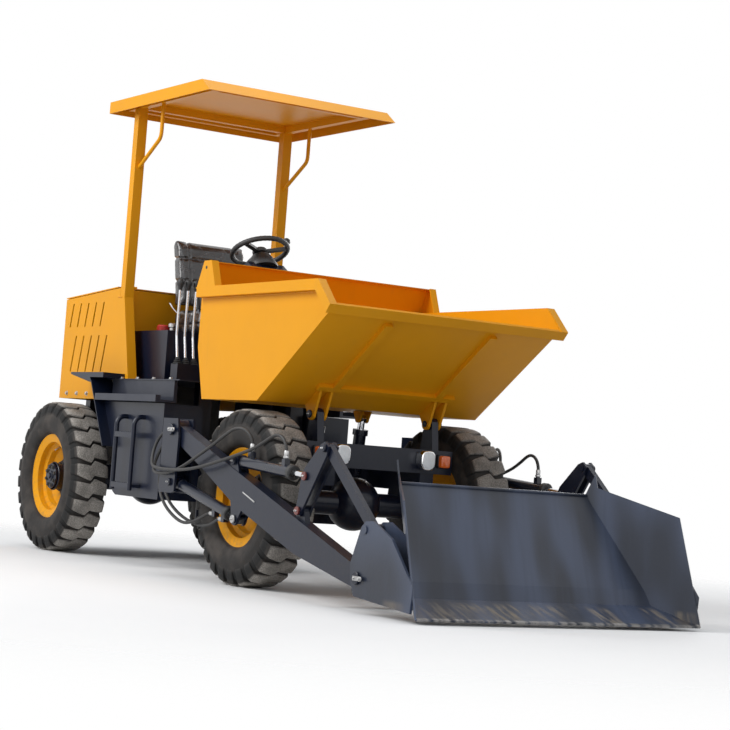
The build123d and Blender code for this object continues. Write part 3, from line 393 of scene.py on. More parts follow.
class Finish:
    """A material: a Principled shader and the nodes that feed it."""

    def __init__(self, name, **constants):
        self.material = bpy.data.materials.new(name)
        self.material.use_nodes = True
        self.tree = self.material.node_tree
        self.shader = self.tree.nodes["Principled BSDF"]
        for socket, value in constants.items():
            self.shader.inputs[socket.replace("_", " ").title().replace("Ior", "IOR")].default_value = value
        coordinates = self.add("ShaderNodeTexCoord")
        self.place = coordinates.outputs["Object"]
        parts = self.add("ShaderNodeSeparateXYZ", inputs={0: self.place})
        self.x, self.y, self.z = [Value(self, socket) for socket in parts.outputs]

    def add(self, kind, settings=None, inputs=None):
        node = self.tree.nodes.new(kind)
        for name, value in (settings or {}).items():
            setattr(node, name, value)
        for name, value in (inputs or {}).items():
            if isinstance(value, Value):
                value = value.socket
            if isinstance(value, bpy.types.NodeSocket):
                self.tree.links.new(value, node.inputs[name])
            else:
                node.inputs[name].default_value = value
        return node

    def stretched(self, scale):
        return self.add("ShaderNodeMapping", inputs={"Vector": self.place, "Scale": scale}).outputs[0]

    def noise(self, scale, detail=3.0, stretch=None):
        vector = self.stretched(stretch) if stretch else self.place
        inputs = {"Vector": vector, "Scale": scale, "Detail": detail}
        return Value(self, self.add("ShaderNodeTexNoise", inputs=inputs).outputs[0])

    def cloud_at(self, place, detail):
        """Soft clouds in coordinates that are worked out first."""
        vector = self.add("ShaderNodeCombineXYZ", inputs=dict(enumerate(place)))
        inputs = {"Vector": vector.outputs[0], "Scale": 1.0, "Detail": detail}
        return Value(self, self.add("ShaderNodeTexNoise", inputs=inputs).outputs[0])

    def colours(self, first, second, share):
        inputs = {0: share, 6: first if isinstance(first, bpy.types.NodeSocket) else (*first, 1)}
        inputs[7] = second if isinstance(second, bpy.types.NodeSocket) else (*second, 1)
        return self.add("ShaderNodeMix", {"data_type": "RGBA"}, inputs).outputs[2]

    def feed(self, socket, value):
        if isinstance(value, Value):
            value = value.socket
        self.tree.links.new(value, self.shader.inputs[socket])

    def bump(self, height, depth):
        node = self.add("ShaderNodeBump", inputs={"Height": height, "Distance": depth})
        self.feed("Normal", node.outputs[0])

    def radius_from(self, x, z):
        """Distance from an axle that lies along Y at this x and z."""
        along, up = self.x - x, self.z - z
        return (along * along + up * up).math("SQRT")


def paint(name, colour, roughness, dust, dust_height, gloss, amount, coat=0.0):
    """Sprayed paint: soft waves in the gloss, faint stains, and dust that gathers below dust_height."""
    finish = Finish(name, coat_weight=coat, coat_roughness=0.1, specular_ior_level=gloss)
    cloud = finish.noise(2.3, 5)
    speck = finish.noise(45, 4)
    streak = finish.noise(3.5, 4, (4.0, 4.0, 0.5))
    base = finish.colours([0.86 * c for c in colour], [min(1, 1.08 * c) for c in colour], cloud)
    low = 1 - finish.z.between(0.05, dust_height)
    dirt = (low * speck.between(0.42, 0.75) + streak.between(0.6, 0.86) * 0.25) * amount
    finish.feed("Base Color", finish.colours(base, dust, dirt))
    finish.feed("Roughness", roughness + cloud * 0.12 + dirt * 0.35)
    finish.bump(finish.noise(160, 2) * 0.6 + finish.noise(9, 2), 0.0006)
    return finish.material


def shovel_steel(colour):
    """Thin blue grey paint on sheet steel, with broad bands of painted sheen, upright runs and a floor
    scraped brown and bright.
    """
    low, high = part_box("shovel")
    finish = Finish("shovel_steel", coat_weight=0.1, coat_roughness=0.15, specular_ior_level=0.4)
    across = finish.y + finish.x * 0.45
    # Broad upright bands of painted sheen: they lighten and darken the paint's colour below, and they also
    # give the bump.
    sheen = finish.cloud_at((across * 6.0, finish.z * 2.0), 0.5)
    runs = finish.cloud_at((across * 26.0, finish.z * 2.2), 4)
    speck = finish.noise(60, 5)
    scrape = finish.noise(1.0, 6, (5.0, 34.0, 1.0))
    patch = finish.noise(1.0, 2, (2.0, 2.6, 1.0))
    base = finish.colours([0.62 * c for c in colour], [2.1 * c for c in colour], sheen.between(0.36, 0.64))
    base = finish.colours(base, [1.1 * c for c in colour], runs.between(0.45, 0.7) * 0.35)
    above_floor = finish.z.between(low.z + 0.05, low.z + 0.075)
    floor = (1 - above_floor) * finish.x.between(high.x - 0.26, high.x - 0.22)
    rust = floor * scrape.between(0.44, 0.6) * patch.between(0.4, 0.58)
    base = finish.colours(base, (0.21, 0.175, 0.13), rust * 0.8)
    above_edge = finish.z.between(low.z + 0.012, low.z + 0.02)
    edge = finish.x.between(high.x - 0.022, high.x - 0.012) * (1 - above_edge)
    finish.feed("Base Color", finish.colours(base, (0.3, 0.29, 0.28), edge * scrape.between(0.35, 0.62)))
    finish.feed("Roughness", 0.3 + speck * 0.12 + rust * 0.3)
    finish.feed("Metallic", edge * 0.6)
    finish.bump(sheen * 2.0 + speck * 0.12, 0.003)
    return finish.material


def tyre_rubber(colour, corner):
    """Dusty on the lugs' tops, dark on the sidewall, and a painted shade, near black, in the grooves."""
    low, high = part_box(f"tyre_{corner}")
    axle = (low + high) / 2
    finish = Finish(f"tyre_rubber_{corner}", specular_ior_level=0.3)
    radius = finish.radius_from(axle.x, axle.z)
    outer = (high.z - low.z) / 2
    top = radius.between(outer - 0.014, outer - 0.004)
    cloud = finish.noise(11, 5)
    speck = finish.noise(170, 4)
    dark = finish.colours((0.02, 0.018, 0.017), (0.06, 0.052, 0.046), cloud.between(0.35, 0.75))
    dusty = finish.colours([0.55 * c for c in colour], [1.35 * c for c in colour], speck.between(0.25, 0.75))
    # Painted shade, near black, in the grooves below the lugs' tops: full from about 34 to 60 mm below the
    # tread, and a fifth of it nearer the tops.
    groove = 1 - radius.between(outer - 0.034, outer - 0.02) * 0.8
    painted_groove_shade = groove * radius.between(outer - 0.08, outer - 0.06)
    dark = finish.colours(dark, (0.008, 0.008, 0.008), painted_groove_shade)
    finish.feed("Base Color", finish.colours(dark, dusty, top * (0.55 + cloud.between(0.3, 0.7) * 0.45)))
    finish.feed("Roughness", 0.62 + cloud * 0.25)
    finish.bump(speck * 0.5 + finish.noise(35, 4), 0.0011)
    return finish.material


def metal(name, colour, roughness, wear=0.08, metallic=1.0):
    finish = Finish(name, metallic=metallic)
    cloud = finish.noise(14, 4)
    scratch = finish.noise(240, 3)
    finish.feed("Base Color", finish.colours([0.82 * c for c in colour], colour, cloud))
    finish.feed("Roughness", roughness + cloud * wear + scratch * wear)
    finish.bump(scratch, 0.00012)
    return finish.material


def plastic(name, colour, roughness, grain=420, depth=0.0003, coat=0.0):
    finish = Finish(name, coat_weight=coat, coat_roughness=0.08)
    cloud = finish.noise(12, 3)
    finish.feed("Base Color", finish.colours([0.8 * c for c in colour], [1.15 * c for c in colour], cloud))
    finish.feed("Roughness", roughness + cloud * 0.1)
    finish.bump(finish.noise(grain, 2), depth)
    return finish.material


def wrapped_vinyl():
    """Black vinyl under a clear, creased wrapping, with painted highlights that lighten it along thin folds.
    """
    finish = Finish("wrapped_vinyl", coat_weight=0.9, coat_roughness=0.05)
    fold = finish.noise(9, 6, (1.0, 0.6, 1.6))
    crease = (fold - 0.5).math("ABSOLUTE")
    ridge = 1 - crease.between(0.0, 0.035)
    # Painted highlights: the colour is lighter along the thin fold ridges.
    finish.feed("Base Color", finish.colours((0.01, 0.01, 0.012), (0.1, 0.1, 0.11), ridge * 0.55))
    finish.feed("Roughness", 0.28 + finish.noise(30, 3) * 0.2)
    finish.bump(ridge * 0.8 + fold * 3 + finish.noise(500, 2) * 0.05, 0.005)
    return finish.material


def lever_steel(navy):
    """Chrome on the sticks, and the frame's paint on the box that they stand in."""
    box_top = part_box("control_levers")[0].z + LEVER_BOX
    finish = Finish("lever_steel")
    stick = finish.z.between(box_top + 0.001, box_top + 0.002)
    finish.feed("Base Color", finish.colours(navy, (0.72, 0.73, 0.76), stick))
    finish.feed("Metallic", stick)
    finish.feed("Roughness", 0.3 - stick * 0.2 + finish.noise(30, 3) * 0.08)
    return finish.material


def cast_iron():
    finish = Finish("cast_iron", metallic=0.6)
    cloud = finish.noise(9, 5)
    finish.feed("Base Color", finish.colours((0.035, 0.034, 0.034), (0.085, 0.08, 0.076), cloud))
    finish.feed("Roughness", 0.5 + cloud * 0.3)
    finish.bump(finish.noise(220, 4), 0.0009)
    return finish.material


def hose_rubber():
    finish = Finish("hose_rubber", specular_ior_level=0.45)
    cloud = finish.noise(16, 4)
    finish.feed("Base Color", finish.colours((0.012, 0.012, 0.013), (0.038, 0.037, 0.036), cloud))
    finish.feed("Roughness", 0.42 + cloud * 0.2)
    finish.bump(finish.noise(600, 2), 0.0003)
    return finish.material


def lamp_lens(name, colour, flutes, painted_glow=0.0):
    """Moulded lens with upright flutes, lit by a faint painted glow over the whole lens that stands in for
    the bright bowl behind it.
    """
    finish = Finish(name, coat_weight=0.8, coat_roughness=0.03)
    flute = (finish.y * flutes).math("SINE")
    cloud = finish.noise(30, 2)
    finish.feed("Base Color", finish.colours([0.7 * c for c in colour], colour, cloud))
    finish.feed("Roughness", 0.1 + cloud * 0.12)
    finish.bump(flute, 0.0006)
    # Painted glow: the lens gives off a little light of its own colour, standing in for the bright bowl
    # behind it.
    if painted_glow:
        finish.shader.inputs["Emission Color"].default_value = (*colour, 1)
        finish.shader.inputs["Emission Strength"].default_value = painted_glow
    return finish.material


def deck_plate(colour):
    """Painted sheet with raised diamonds on its flat top."""
    finish = Finish("deck_plate", coat_weight=0.2)
    along, across = finish.x * 74, finish.y * 74
    weave = ((along + across).math("SINE") * (along - across).math("SINE")).math("ABSOLUTE")
    cloud = finish.noise(7, 5)
    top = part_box("deck")[1].z
    weave = weave * finish.z.between(top - 0.003, top - 0.001)
    worn = weave.between(0.78, 0.95) * cloud.between(0.45, 0.75)
    bare = worn * 0.5 + cloud.between(0.6, 0.8) * 0.2
    finish.feed("Base Color", finish.colours(colour, (0.09, 0.085, 0.08), bare))
    finish.feed("Roughness", 0.36 + cloud * 0.3)
    finish.bump(weave.between(0.55, 0.9), 0.0016)
    return finish.material


FINISHES = {}
LEVER_BOX = 0.098  # height of the box that the control levers stand in
NODES_OF = {
    "yellow_paint": ["skip", "hood_shell", "hood_lid", "canopy_roof", "canopy_frame"],
    "navy_paint": [
        *["rear_side_members", "rear_cross_members", "rear_fork", "front_side_members", "front_fork"],
        *["lamp_plate", "skip_ram_mount", "arm_brackets", "loader_arms", "tilt_levers", "tilt_links"],
        *["rear_axle", "front_axle", "gearbox", "rear_drive_shafts", "front_drive_shaft", "mudguards"],
        *["side_tanks", "step_ladders", "oil_tank", "steering_console"],
    ],
    "ram_paint": ["lift_barrels", "tilt_barrels", "skip_ram_barrels", "steer_ram_barrel"],
    "deck_plate": ["deck"],
    "shovel_steel": ["shovel"],
    "cast_iron": ["engine_block"],
    "chrome": ["lift_rods", "tilt_rods", "skip_ram_rods", "steer_ram_rod"],
    "lever_steel": ["control_levers"],
    "wrapped_vinyl": ["seat_cushion", "seat_back"],
    "black_plastic": ["steering_wheel"],
    "clear_lens": ["headlamps"],
    "amber_lens": ["turn_signals"],
    "red_lens": ["tail_lamps"],
    "hose_rubber": ["tilt_rod_hoses", "tilt_base_hoses", "lift_hoses"],
}


def make_finishes(colours):
    yellow, navy = list(colours.yellow), list(colours.navy)
    navy_dust, ram_dust = (0.05, 0.043, 0.037), (0.05, 0.045, 0.04)
    FINISHES.update(
        yellow_paint=paint("yellow_paint", yellow, 0.36, (0.3, 0.2, 0.1), 1.0, gloss=0.2, amount=0.4),
        navy_paint=paint("navy_paint", navy, 0.26, navy_dust, 0.9, coat=0.1, gloss=0.35, amount=0.25),
        ram_paint=paint("ram_paint", navy, 0.22, ram_dust, 0.4, coat=0.4, gloss=0.4, amount=0.1),
        deck_plate=deck_plate(navy),
        shovel_steel=shovel_steel(list(colours.shovel)),
        cast_iron=cast_iron(),
        lever_steel=lever_steel(navy),
        pin_grease=plastic("pin_grease", (0.14, 0.018, 0.012), 0.3, grain=90, depth=0.001, coat=0.4),
        chrome=metal("chrome", (0.78, 0.8, 0.84), 0.06, wear=0.04),
        zinc=metal("zinc", (0.5, 0.5, 0.5), 0.3, wear=0.12),
        bare_steel=metal("bare_steel", (0.42, 0.42, 0.42), 0.28, wear=0.2),
        wrapped_vinyl=wrapped_vinyl(),
        black_plastic=plastic("black_plastic", (0.018, 0.018, 0.019), 0.42),
        rubber_boot=plastic("rubber_boot", (0.014, 0.014, 0.014), 0.62),
        gauge_glass=plastic("gauge_glass", (0.3, 0.31, 0.31), 0.12, grain=80, depth=0.0001, coat=1.0),
        clear_lens=lamp_lens("clear_lens", (0.8, 0.84, 0.88), flutes=620, painted_glow=0.12),
        reflector=metal("reflector", (0.85, 0.86, 0.88), 0.05, wear=0.02),
        amber_lens=lamp_lens("amber_lens", (0.75, 0.13, 0.01), flutes=700, painted_glow=0.12),
        red_lens=lamp_lens("red_lens", (0.42, 0.01, 0.008), flutes=700),
        red_cap=plastic("red_cap", (0.45, 0.02, 0.012), 0.35),
        hose_rubber=hose_rubber(),
    )
    for corner in CORNERS:
        FINISHES[f"tyre_rubber_{corner}"] = tyre_rubber(list(colours.rubber), corner)
        dress(f"tyre_rubber_{corner}", [f"tyre_{corner}"])
        dress("yellow_paint", [f"rim_{corner}"])
        dress("navy_paint", [f"hub_{corner}"])
    for finish, nodes in NODES_OF.items():
        dress(finish, nodes)


def dress(finish, nodes):
    for node in nodes:
        for slot in frame["nodes"][node].material_slots:
            slot.material = FINISHES[finish]


# ---- hoses ----
TILT_ROD_HOSE = (
    (-0.144, -0.742, 0.727), (-0.178, -0.742, 0.727), (-0.211, -0.745, 0.713), (-0.236, -0.751, 0.688),
    (-0.25, -0.759, 0.655), (-0.25, -0.769, 0.619), (-0.236, -0.78, 0.586), (-0.211, -0.791, 0.561),
    (-0.178, -0.8, 0.547), (-0.11, -0.808, 0.54), (0.01, -0.815, 0.537), (0.17, -0.82, 0.54),
    (0.345, -0.815, 0.56), (0.53, -0.8, 0.6), (0.68, -0.778, 0.64), (0.79, -0.762, 0.672),
    (0.868, -0.751, 0.707), (0.908, -0.744, 0.727), (0.94, -0.74, 0.74), (0.967, -0.737, 0.743),
    (0.994, -0.735, 0.737), (1.017, -0.733, 0.722), (1.033, -0.731, 0.701), (1.042, -0.73, 0.675),
    (1.0421, -0.73, 0.6482),
)
TILT_BASE_HOSE = (
    (-0.144, -0.716, 0.69), (-0.177, -0.716, 0.69), (-0.208, -0.72, 0.677), (-0.232, -0.727, 0.653),
    (-0.245, -0.737, 0.622), (-0.245, -0.75, 0.588), (-0.232, -0.765, 0.557), (-0.208, -0.78, 0.533),
    (-0.177, -0.792, 0.52), (-0.115, -0.798, 0.513), (0.0, -0.799, 0.52), (0.13, -0.798, 0.552),
    (0.27, -0.8, 0.604), (0.41, -0.799, 0.66), (0.51, -0.793, 0.708), (0.57, -0.784, 0.741),
    (0.6, -0.777, 0.755), (0.621, -0.77, 0.762), (0.647, -0.76, 0.764), (0.672, -0.75, 0.757),
    (0.694, -0.741, 0.742), (0.71, -0.734, 0.721), (0.7178, -0.73, 0.696), (0.7178, -0.73, 0.6691),
)
LIFT_ROD_HOSE = (
    (-0.144, -0.698, 0.59), (-0.182, -0.698, 0.59), (-0.213, -0.699, 0.577), (-0.237, -0.7, 0.553),
    (-0.25, -0.701, 0.522), (-0.25, -0.703, 0.488), (-0.237, -0.705, 0.457), (-0.2, -0.708, 0.415),
    (-0.13, -0.713, 0.366), (-0.015, -0.718, 0.318), (0.12, -0.722, 0.286), (0.26, -0.723, 0.273),
    (0.37, -0.726, 0.29), (0.43, -0.73, 0.3203), (0.4696, -0.73, 0.3203),
)
LIFT_BASE_HOSE = (
    (-0.144, -0.722, 0.572), (-0.182, -0.722, 0.572), (-0.213, -0.722, 0.559), (-0.237, -0.722, 0.535),
    (-0.25, -0.722, 0.504), (-0.25, -0.722, 0.47), (-0.237, -0.724, 0.439), (-0.202, -0.729, 0.397),
    (-0.132, -0.736, 0.348), (-0.02, -0.744, 0.304), (0.1, -0.75, 0.276), (0.205, -0.749, 0.288),
    (0.28, -0.741, 0.316), (0.334, -0.73, 0.3417), (0.3719, -0.73, 0.3417),
)
HOSES = (  # name, route, node it stands for, length, body of its far end, x from which it follows that body
    ("tilt_rod_hose", TILT_ROD_HOSE, "tilt_rod_hoses", 1.604, "loader_arms", 0.34),
    ("tilt_base_hose", TILT_BASE_HOSE, "tilt_base_hoses", 1.291, "loader_arms", 0.34),
    ("lift_rod_hose", LIFT_ROD_HOSE, "lift_hoses", 0.966, "lift_barrels", 0.2),
    ("lift_base_hose", LIFT_BASE_HOSE, "lift_hoses", 0.871, "lift_barrels", 0.2),
)


BEND_START = -0.12  # x at which each hose starts to follow the loader


def mirrored(points, sign):
    return [Vector((x, -sign * y, z)) for x, y, z in points]


def make_hose(name, route, node, length, far_body, bend_end, diameter):
    """A smooth hose from the bracket to a cylinder's port."""
    for side, sign in SIDES.items():
        points = mirrored(route, sign)
        hose, path = bent_rod(f"{name}_{side}", points, diameter / 2, 4)
        done(hose, None, "hose_rubber", 60)
        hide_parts(node)
        start = Vector((BEND_START, points[0].y, 0.5))
        start + AHEAD * (bend_end - BEND_START)
        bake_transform(hose)


def make_hose_fittings(radius):
    """A hexagon nut and a crimped sleeve on each end of each hose."""
    sleeve = [(-0.002, 0.0), (-0.002, radius * 1.3), (0.004, radius * 1.45), (0.022, radius * 1.45)]
    sleeve += [(0.025, radius * 1.25), (0.025, 0.0)]
    for name, route, _, _, far_body, _ in HOSES:
        port_body = "tilt_barrels" if far_body == "loader_arms" else "lift_barrels"
        for side, sign in SIDES.items():
            points = mirrored(route, sign)
            ends = ((points[0], points[1], "front_frame"), (points[-1], points[-2], port_body))
            for end, inner, body in ends:
                along = (inner - end).normalized()
                crimp = lathe("sleeve", sleeve, end, along, 20)
                clear_selection()
                bpy.ops.mesh.primitive_cylinder_add(vertices=6, radius=radius * 1.75, depth=0.01)
                nut = round_edges(bpy.context.object, 0.001, 2)
                nut.data.transform(standing(end - along * 0.006, along))
                done(joined(f"{name}_{side}_fitting_{body}", [crimp, nut]), body, "zinc")


# ---- wheels ----
def wheel_frame(corner):
    """Middle of a wheel, the sign of the direction that points out of the machine, and the radius."""
    low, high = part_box(f"tyre_{corner}")
    middle = (low + high) / 2
    return middle, math.copysign(1, middle.y), (high.z - low.z) / 2


def sidewall(radius, lug_height):
    """The tyre without its lugs, as (across, radius) points round its section."""
    crown = radius - lug_height
    drops = (  # across, and how far below the tyre's radius
        *[(0.1145, 0.1), (0.1155, 0.104), (0.1165, 0.115), (0.1158, 0.126), (0.1125, 0.15), (0.112, 0.152)],
        *[(0.109, 0.163), (0.101, 0.176), (0.09, 0.184), (0.083, 0.185), (0.08, 0.189), (0.07, 0.222)],
        (0.066, 0.226),
    )
    half = [(0.0, crown), (0.06, crown), (0.084, crown - 0.006), (0.096, crown - 0.02)]
    half += [(0.104, crown - 0.042), (0.1105, crown - 0.066)]
    half += [(across, radius - drop) for across, drop in drops]
    return half + [(-across, r) for across, r in half[:0:-1]]


# across the tread from its middle, and how far below the crown
HALF_LUG = [(0.011, 0.0), (0.03, 0.0), (0.056, 0.0), (0.084, 0.002)]
HALF_LUG += [(0.096, 0.01), (0.103, 0.028), (0.109, 0.052), (0.112, 0.072)]
LUG_TOP = [(-across, drop) for across, drop in HALF_LUG[::-1]] + HALF_LUG
STEP_HALF = 0.011  # half the width of the sharp step in a groove's middle


def groove_step(across, zigzag):
    """How far a groove has moved round the tyre here: a sharp step in the middle, and flanks that fall."""
    distance = abs(across)
    share = min(distance, STEP_HALF) / STEP_HALF - 1.5 * max(0.0, distance - STEP_HALF) / 0.1
    return math.copysign(zigzag, across) * share


def tread_lug(radius, sizes):
    """One lug, flat and closed: x is the way round the tyre, y across it and z the height."""
    taper, taper_start, taper_width = 0.02, 0.03, 0.08  # how a lug gets shorter towards the shoulder
    flare, sunk, tuck = 0.007, 0.006, 0.92  # its foot is longer, sunk into the tyre and narrower
    length = math.tau * radius / sizes.lugs - sizes.groove
    rows = len(LUG_TOP) - 1
    clear_selection()
    bpy.ops.mesh.primitive_grid_add(x_subdivisions=4, y_subdivisions=rows, size=1)
    lug = bpy.context.object
    bpy.ops.object.mode_set(mode="EDIT")
    bpy.ops.mesh.select_all(action="SELECT")
    bpy.ops.mesh.extrude_region_move(TRANSFORM_OT_translate={"value": (0, 0, 1)})
    bpy.ops.object.mode_set(mode="OBJECT")
    for corner in lug.data.vertices:
        across, drop = LUG_TOP[round((corner.co.y + 0.5) * rows)]
        reach = length - taper * max(0.0, abs(across) - taper_start) / taper_width
        if corner.co.z < 0.5:
            reach += flare
            drop += sizes.lug_height + sunk
            across *= tuck
        corner.co = (corner.co.x * reach + groove_step(across, sizes.zigzag), across, -drop)
    face_outwards(lug)
    return round_edges(lug, 0.0022, 1, 40)


def make_tyre(corner, sizes):
    middle, outward, radius = wheel_frame(corner)
    profile = sidewall(radius, sizes.lug_height)
    carcass = lathe(f"carcass_{corner}", profile, middle, ACROSS * outward, 72)
    lugs = copies(tread_lug(radius, sizes), [Matrix.Identity(4)] * sizes.lugs)
    for index, block in enumerate(lugs):
        for vertex in block.data.vertices:
            angle = math.tau * index / sizes.lugs + vertex.co.x / radius
            reach = radius + vertex.co.z
            across = vertex.co.y * outward
            vertex.co = middle + Vector((math.sin(angle) * reach, across, math.cos(angle) * reach))
    tyre = joined(f"tyre_with_tread_{corner}", [*lugs, carcass])
    edit(tyre)
    bpy.ops.mesh.select_all(action="SELECT")
    bpy.ops.mesh.normals_make_consistent(inside=False)
    done(tyre, f"wheel_{corner}", f"tyre_rubber_{corner}", 40)
    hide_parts(f"tyre_{corner}")


def make_wheel_fittings(corner, sizes):
    """Wheel nuts, the hub's bolts and centre plug, and the tyre's valve."""
    middle, outward, _ = wheel_frame(corner)
    low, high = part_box(f"hub_{corner}")
    out = ACROSS * outward
    face = Vector((middle.x, high.y if outward > 0 else low.y, middle.z))
    flange = face - out * 0.091
    body = f"wheel_{corner}"
    bolts(f"wheel_nuts_{corner}", body, sizes.nut, ring_of(flange, out, 0.095, 8), "cast_iron")
    bolts(f"hub_bolts_{corner}", body, sizes.nut * 0.62, ring_of(face, out, 0.056, 8, 0.3), "cast_iron")
    collar = [(-0.03, 0.06), (-0.03, 0.079), (-0.022, 0.083)]
    collar += [(-0.016, 0.083), (-0.012, 0.079), (-0.012, 0.06)]
    ring = lathe("ring", collar, face, out, 40)
    centre = [(0.0, 0.0), (0.0, 0.03), (0.006, 0.028), (0.008, 0.018), (0.016, 0.016), (0.017, 0.0)]
    plug = lathe("plug", centre, face, out)
    done(joined(f"hub_collar_{corner}", [ring, plug]), body, "navy_paint")
    foot = middle + out * 0.02 + UP * 0.17
    stem = [foot, foot + out * 0.018 - UP * 0.004, foot + out * 0.036 - UP * 0.022]
    rod(f"valve_{corner}", stem, 0.0045, body, "zinc", sides=2)


# ---- pins of the loader and the skip ----
def pin_at(joint):
    x, _, z = JOINTS[joint]["pos_m"]
    return Vector((x, 0, z))


def ram_end(base_joint, stroke_joint, rods, eye_radius=0.026):
    """Middle of a rod's eye, from its cylinder's base and direction."""
    base = pin_at(base_joint)
    axis = Vector(JOINTS[stroke_joint]["axis"]).normalized()
    eye_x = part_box(rods)[1].x - eye_radius
    return base + axis * ((eye_x - base.x) / axis.x)


def pin_head(name, body, place, outward, radius, keeper, finish):
    """A turned pin head with a grease nipple, and on a large pin a keeper bar held by a bolt."""
    out = ACROSS * outward
    profile = [(-0.002, 0.0), (-0.002, radius), (0.004, radius), (0.006, radius * 0.92), (0.006, 0.0)]
    turned(name, profile, place, out, body, finish, 28)
    nipple = [(0.005, 0.0), (0.005, 0.006), (0.01, 0.005), (0.011, 0.0035), (0.016, 0.004), (0.018, 0.0)]
    turned(f"{name}_nipple", nipple, place, out, body, "zinc", 12)
    if keeper:
        along = AHEAD * -outward
        bar = [(-0.012, -0.01), (0.054, -0.01), (0.06, 0.0), (0.054, 0.01), (-0.012, 0.01)]
        plate = outline_block(f"{name}_keeper", bar, 0.005, place + out * 0.0055, along, UP)
        done(round_edges(plate, 0.001, 1), body, "bare_steel")
        bolts(f"{name}_keeper_bolt", body, 0.013, [(place + along * 0.045 + out * 0.01, out)])


def make_pins():
    tilt_eye = ram_end("tilt_swing", "tilt_stroke", "tilt_rods")
    lift_eye = ram_end("lift_swing", "lift_stroke", "lift_rods")
    rows = (  # name, body, place, distance from the middle, radius, with a keeper, finish
        ("arm_pin", "front_frame", pin_at("arms_lift"), 0.787, 0.03, True, "navy_paint"),
        ("lift_base_pin", "front_frame", pin_at("lift_swing"), 0.785, 0.02, False, "navy_paint"),
        ("lift_eye_pin", "loader_arms", lift_eye, 0.765, 0.02, False, "zinc"),
        ("tilt_base_pin", "loader_arms", pin_at("tilt_swing"), 0.765, 0.02, False, "navy_paint"),
        ("lever_pin", "tilt_levers", pin_at("levers_swing"), 0.765, 0.02, False, "pin_grease"),
        ("tilt_eye_pin", "tilt_levers", tilt_eye, 0.765, 0.02, False, "pin_grease"),
        ("lever_top_pin", "tilt_levers", pin_at("links_swing"), 0.765, 0.018, False, "navy_paint"),
        ("shovel_pin", "shovel", pin_at("shovel_tilt"), 0.785, 0.028, True, "navy_paint"),
    )
    for name, body, place, distance, radius, keeper, finish in rows:
        for side, sign in SIDES.items():
            pin_head(f"{name}_{side}", body, place + ACROSS * sign * distance, sign, radius, keeper, finish)
    for side, sign in SIDES.items():
        # A bright bare steel bead along each loader arm's outer face.
        face_y = sign * 0.7605
        weld = weld_bead((0.712, face_y, 0.462), (0.835, face_y, 0.42), 0.0045)
        done(joined(f"arm_bright_bead_{side}", [weld]), "loader_arms", "bare_steel", 60)
        hinge = pin_at("skip_tip") + ACROSS * sign * 0.384
        pin_head(f"skip_pin_{side}", "front_frame", hinge, sign, 0.02, False, "navy_paint")


def make_ram_glands():
    """The screwed gland and wiper where each rod enters its cylinder, and the weld at its foot."""
    middle, barrel, rod_radius = 0.73, 0.027, 0.015
    gland = [(-0.026, barrel * 1.2), (-0.026, barrel * 1.32), (-0.002, barrel * 1.32)]
    gland += [(0.003, barrel * 1.15), (0.003, rod_radius + 0.004), (0.009, rod_radius + 0.003)]
    gland += [(0.009, rod_radius + 0.0008), (-0.001, rod_radius + 0.0008)]
    weld = [(-0.003, barrel * 0.98), (0.0, barrel * 1.07), (0.004, barrel * 1.07), (0.007, barrel * 0.98)]
    for name, bare in (("lift", 0.09), ("tilt", 0.15)):  # name, and the length of rod between gland and eye
        base = pin_at(f"{name}_swing")
        end = ram_end(f"{name}_swing", f"{name}_stroke", f"{name}_rods")
        axis = (end - base).normalized()
        body = f"{name}_barrels"
        for side, sign in SIDES.items():
            aside = ACROSS * sign * middle
            turned(f"{name}_gland_{side}", gland, end - axis * bare + aside, axis, body, "black_plastic", 36)
            turned(f"{name}_foot_weld_{side}", weld, base + axis * 0.052 + aside, axis, body, "navy_paint")


# ---- seat ----
def fill_cover(piece, most):
    """Blows the closed cover up from inside, as foam does, by no more than this far."""
    rest = [vertex.co.copy() for vertex in piece.data.vertices]
    cloth = piece.modifiers.new("filling", "CLOTH")
    cloth.settings.use_pressure = True
    cloth.settings.uniform_pressure_force = 4.0
    cloth.settings.effector_weights.gravity = 0.0
    scene = bpy.context.scene
    for step in range(1, 21):
        scene.frame_set(step)
    filled = piece.evaluated_get(bpy.context.evaluated_depsgraph_get()).to_mesh()
    pushed = [vertex.co.copy() for vertex in filled.vertices]
    piece.modifiers.remove(cloth)
    for vertex, start, end in zip(piece.data.vertices, rest, pushed):
        move = end - start
        vertex.co = start + (move * (most / move.length) if move.length > most else move)
    scene.frame_set(1)


def sew(piece, seams, width, depth):
    """Presses a narrow channel into the cover along each seam, given as a function of the distance to it."""
    for vertex in piece.data.vertices:
        near = min(abs(seam(vertex.co)) for seam in seams)
        if near < width:
            share = math.cos(near / width * math.pi / 2) ** 2
            vertex.co -= vertex.normal * depth * share


def cushion(name, node, outline, crown, seams):
    """A padded form from its side outline, across the seat's width."""
    low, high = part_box(node)
    inset = crown + 0.002
    width = high.y - low.y - 2 * inset
    piece = outline_block(name, outline, width, Vector((0, low.y + inset + width, 0)), AHEAD, UP)
    round_edges(piece, 0.032, 4)
    piece.data.remesh_voxel_size = 0.006
    pick(piece)
    bpy.ops.object.voxel_remesh()
    sew(piece, seams, 0.016, 0.006)
    fill_cover(piece, crown)
    sew(piece, seams, 0.007, 0.005)
    smooth = piece.modifiers.new("cover", "SUBSURF")
    smooth.levels = 1
    smooth.render_levels = 1
    pick(piece)
    bpy.ops.object.modifier_apply(modifier=smooth.name)
    return done(piece, "rear_frame", "wrapped_vinyl", 180)


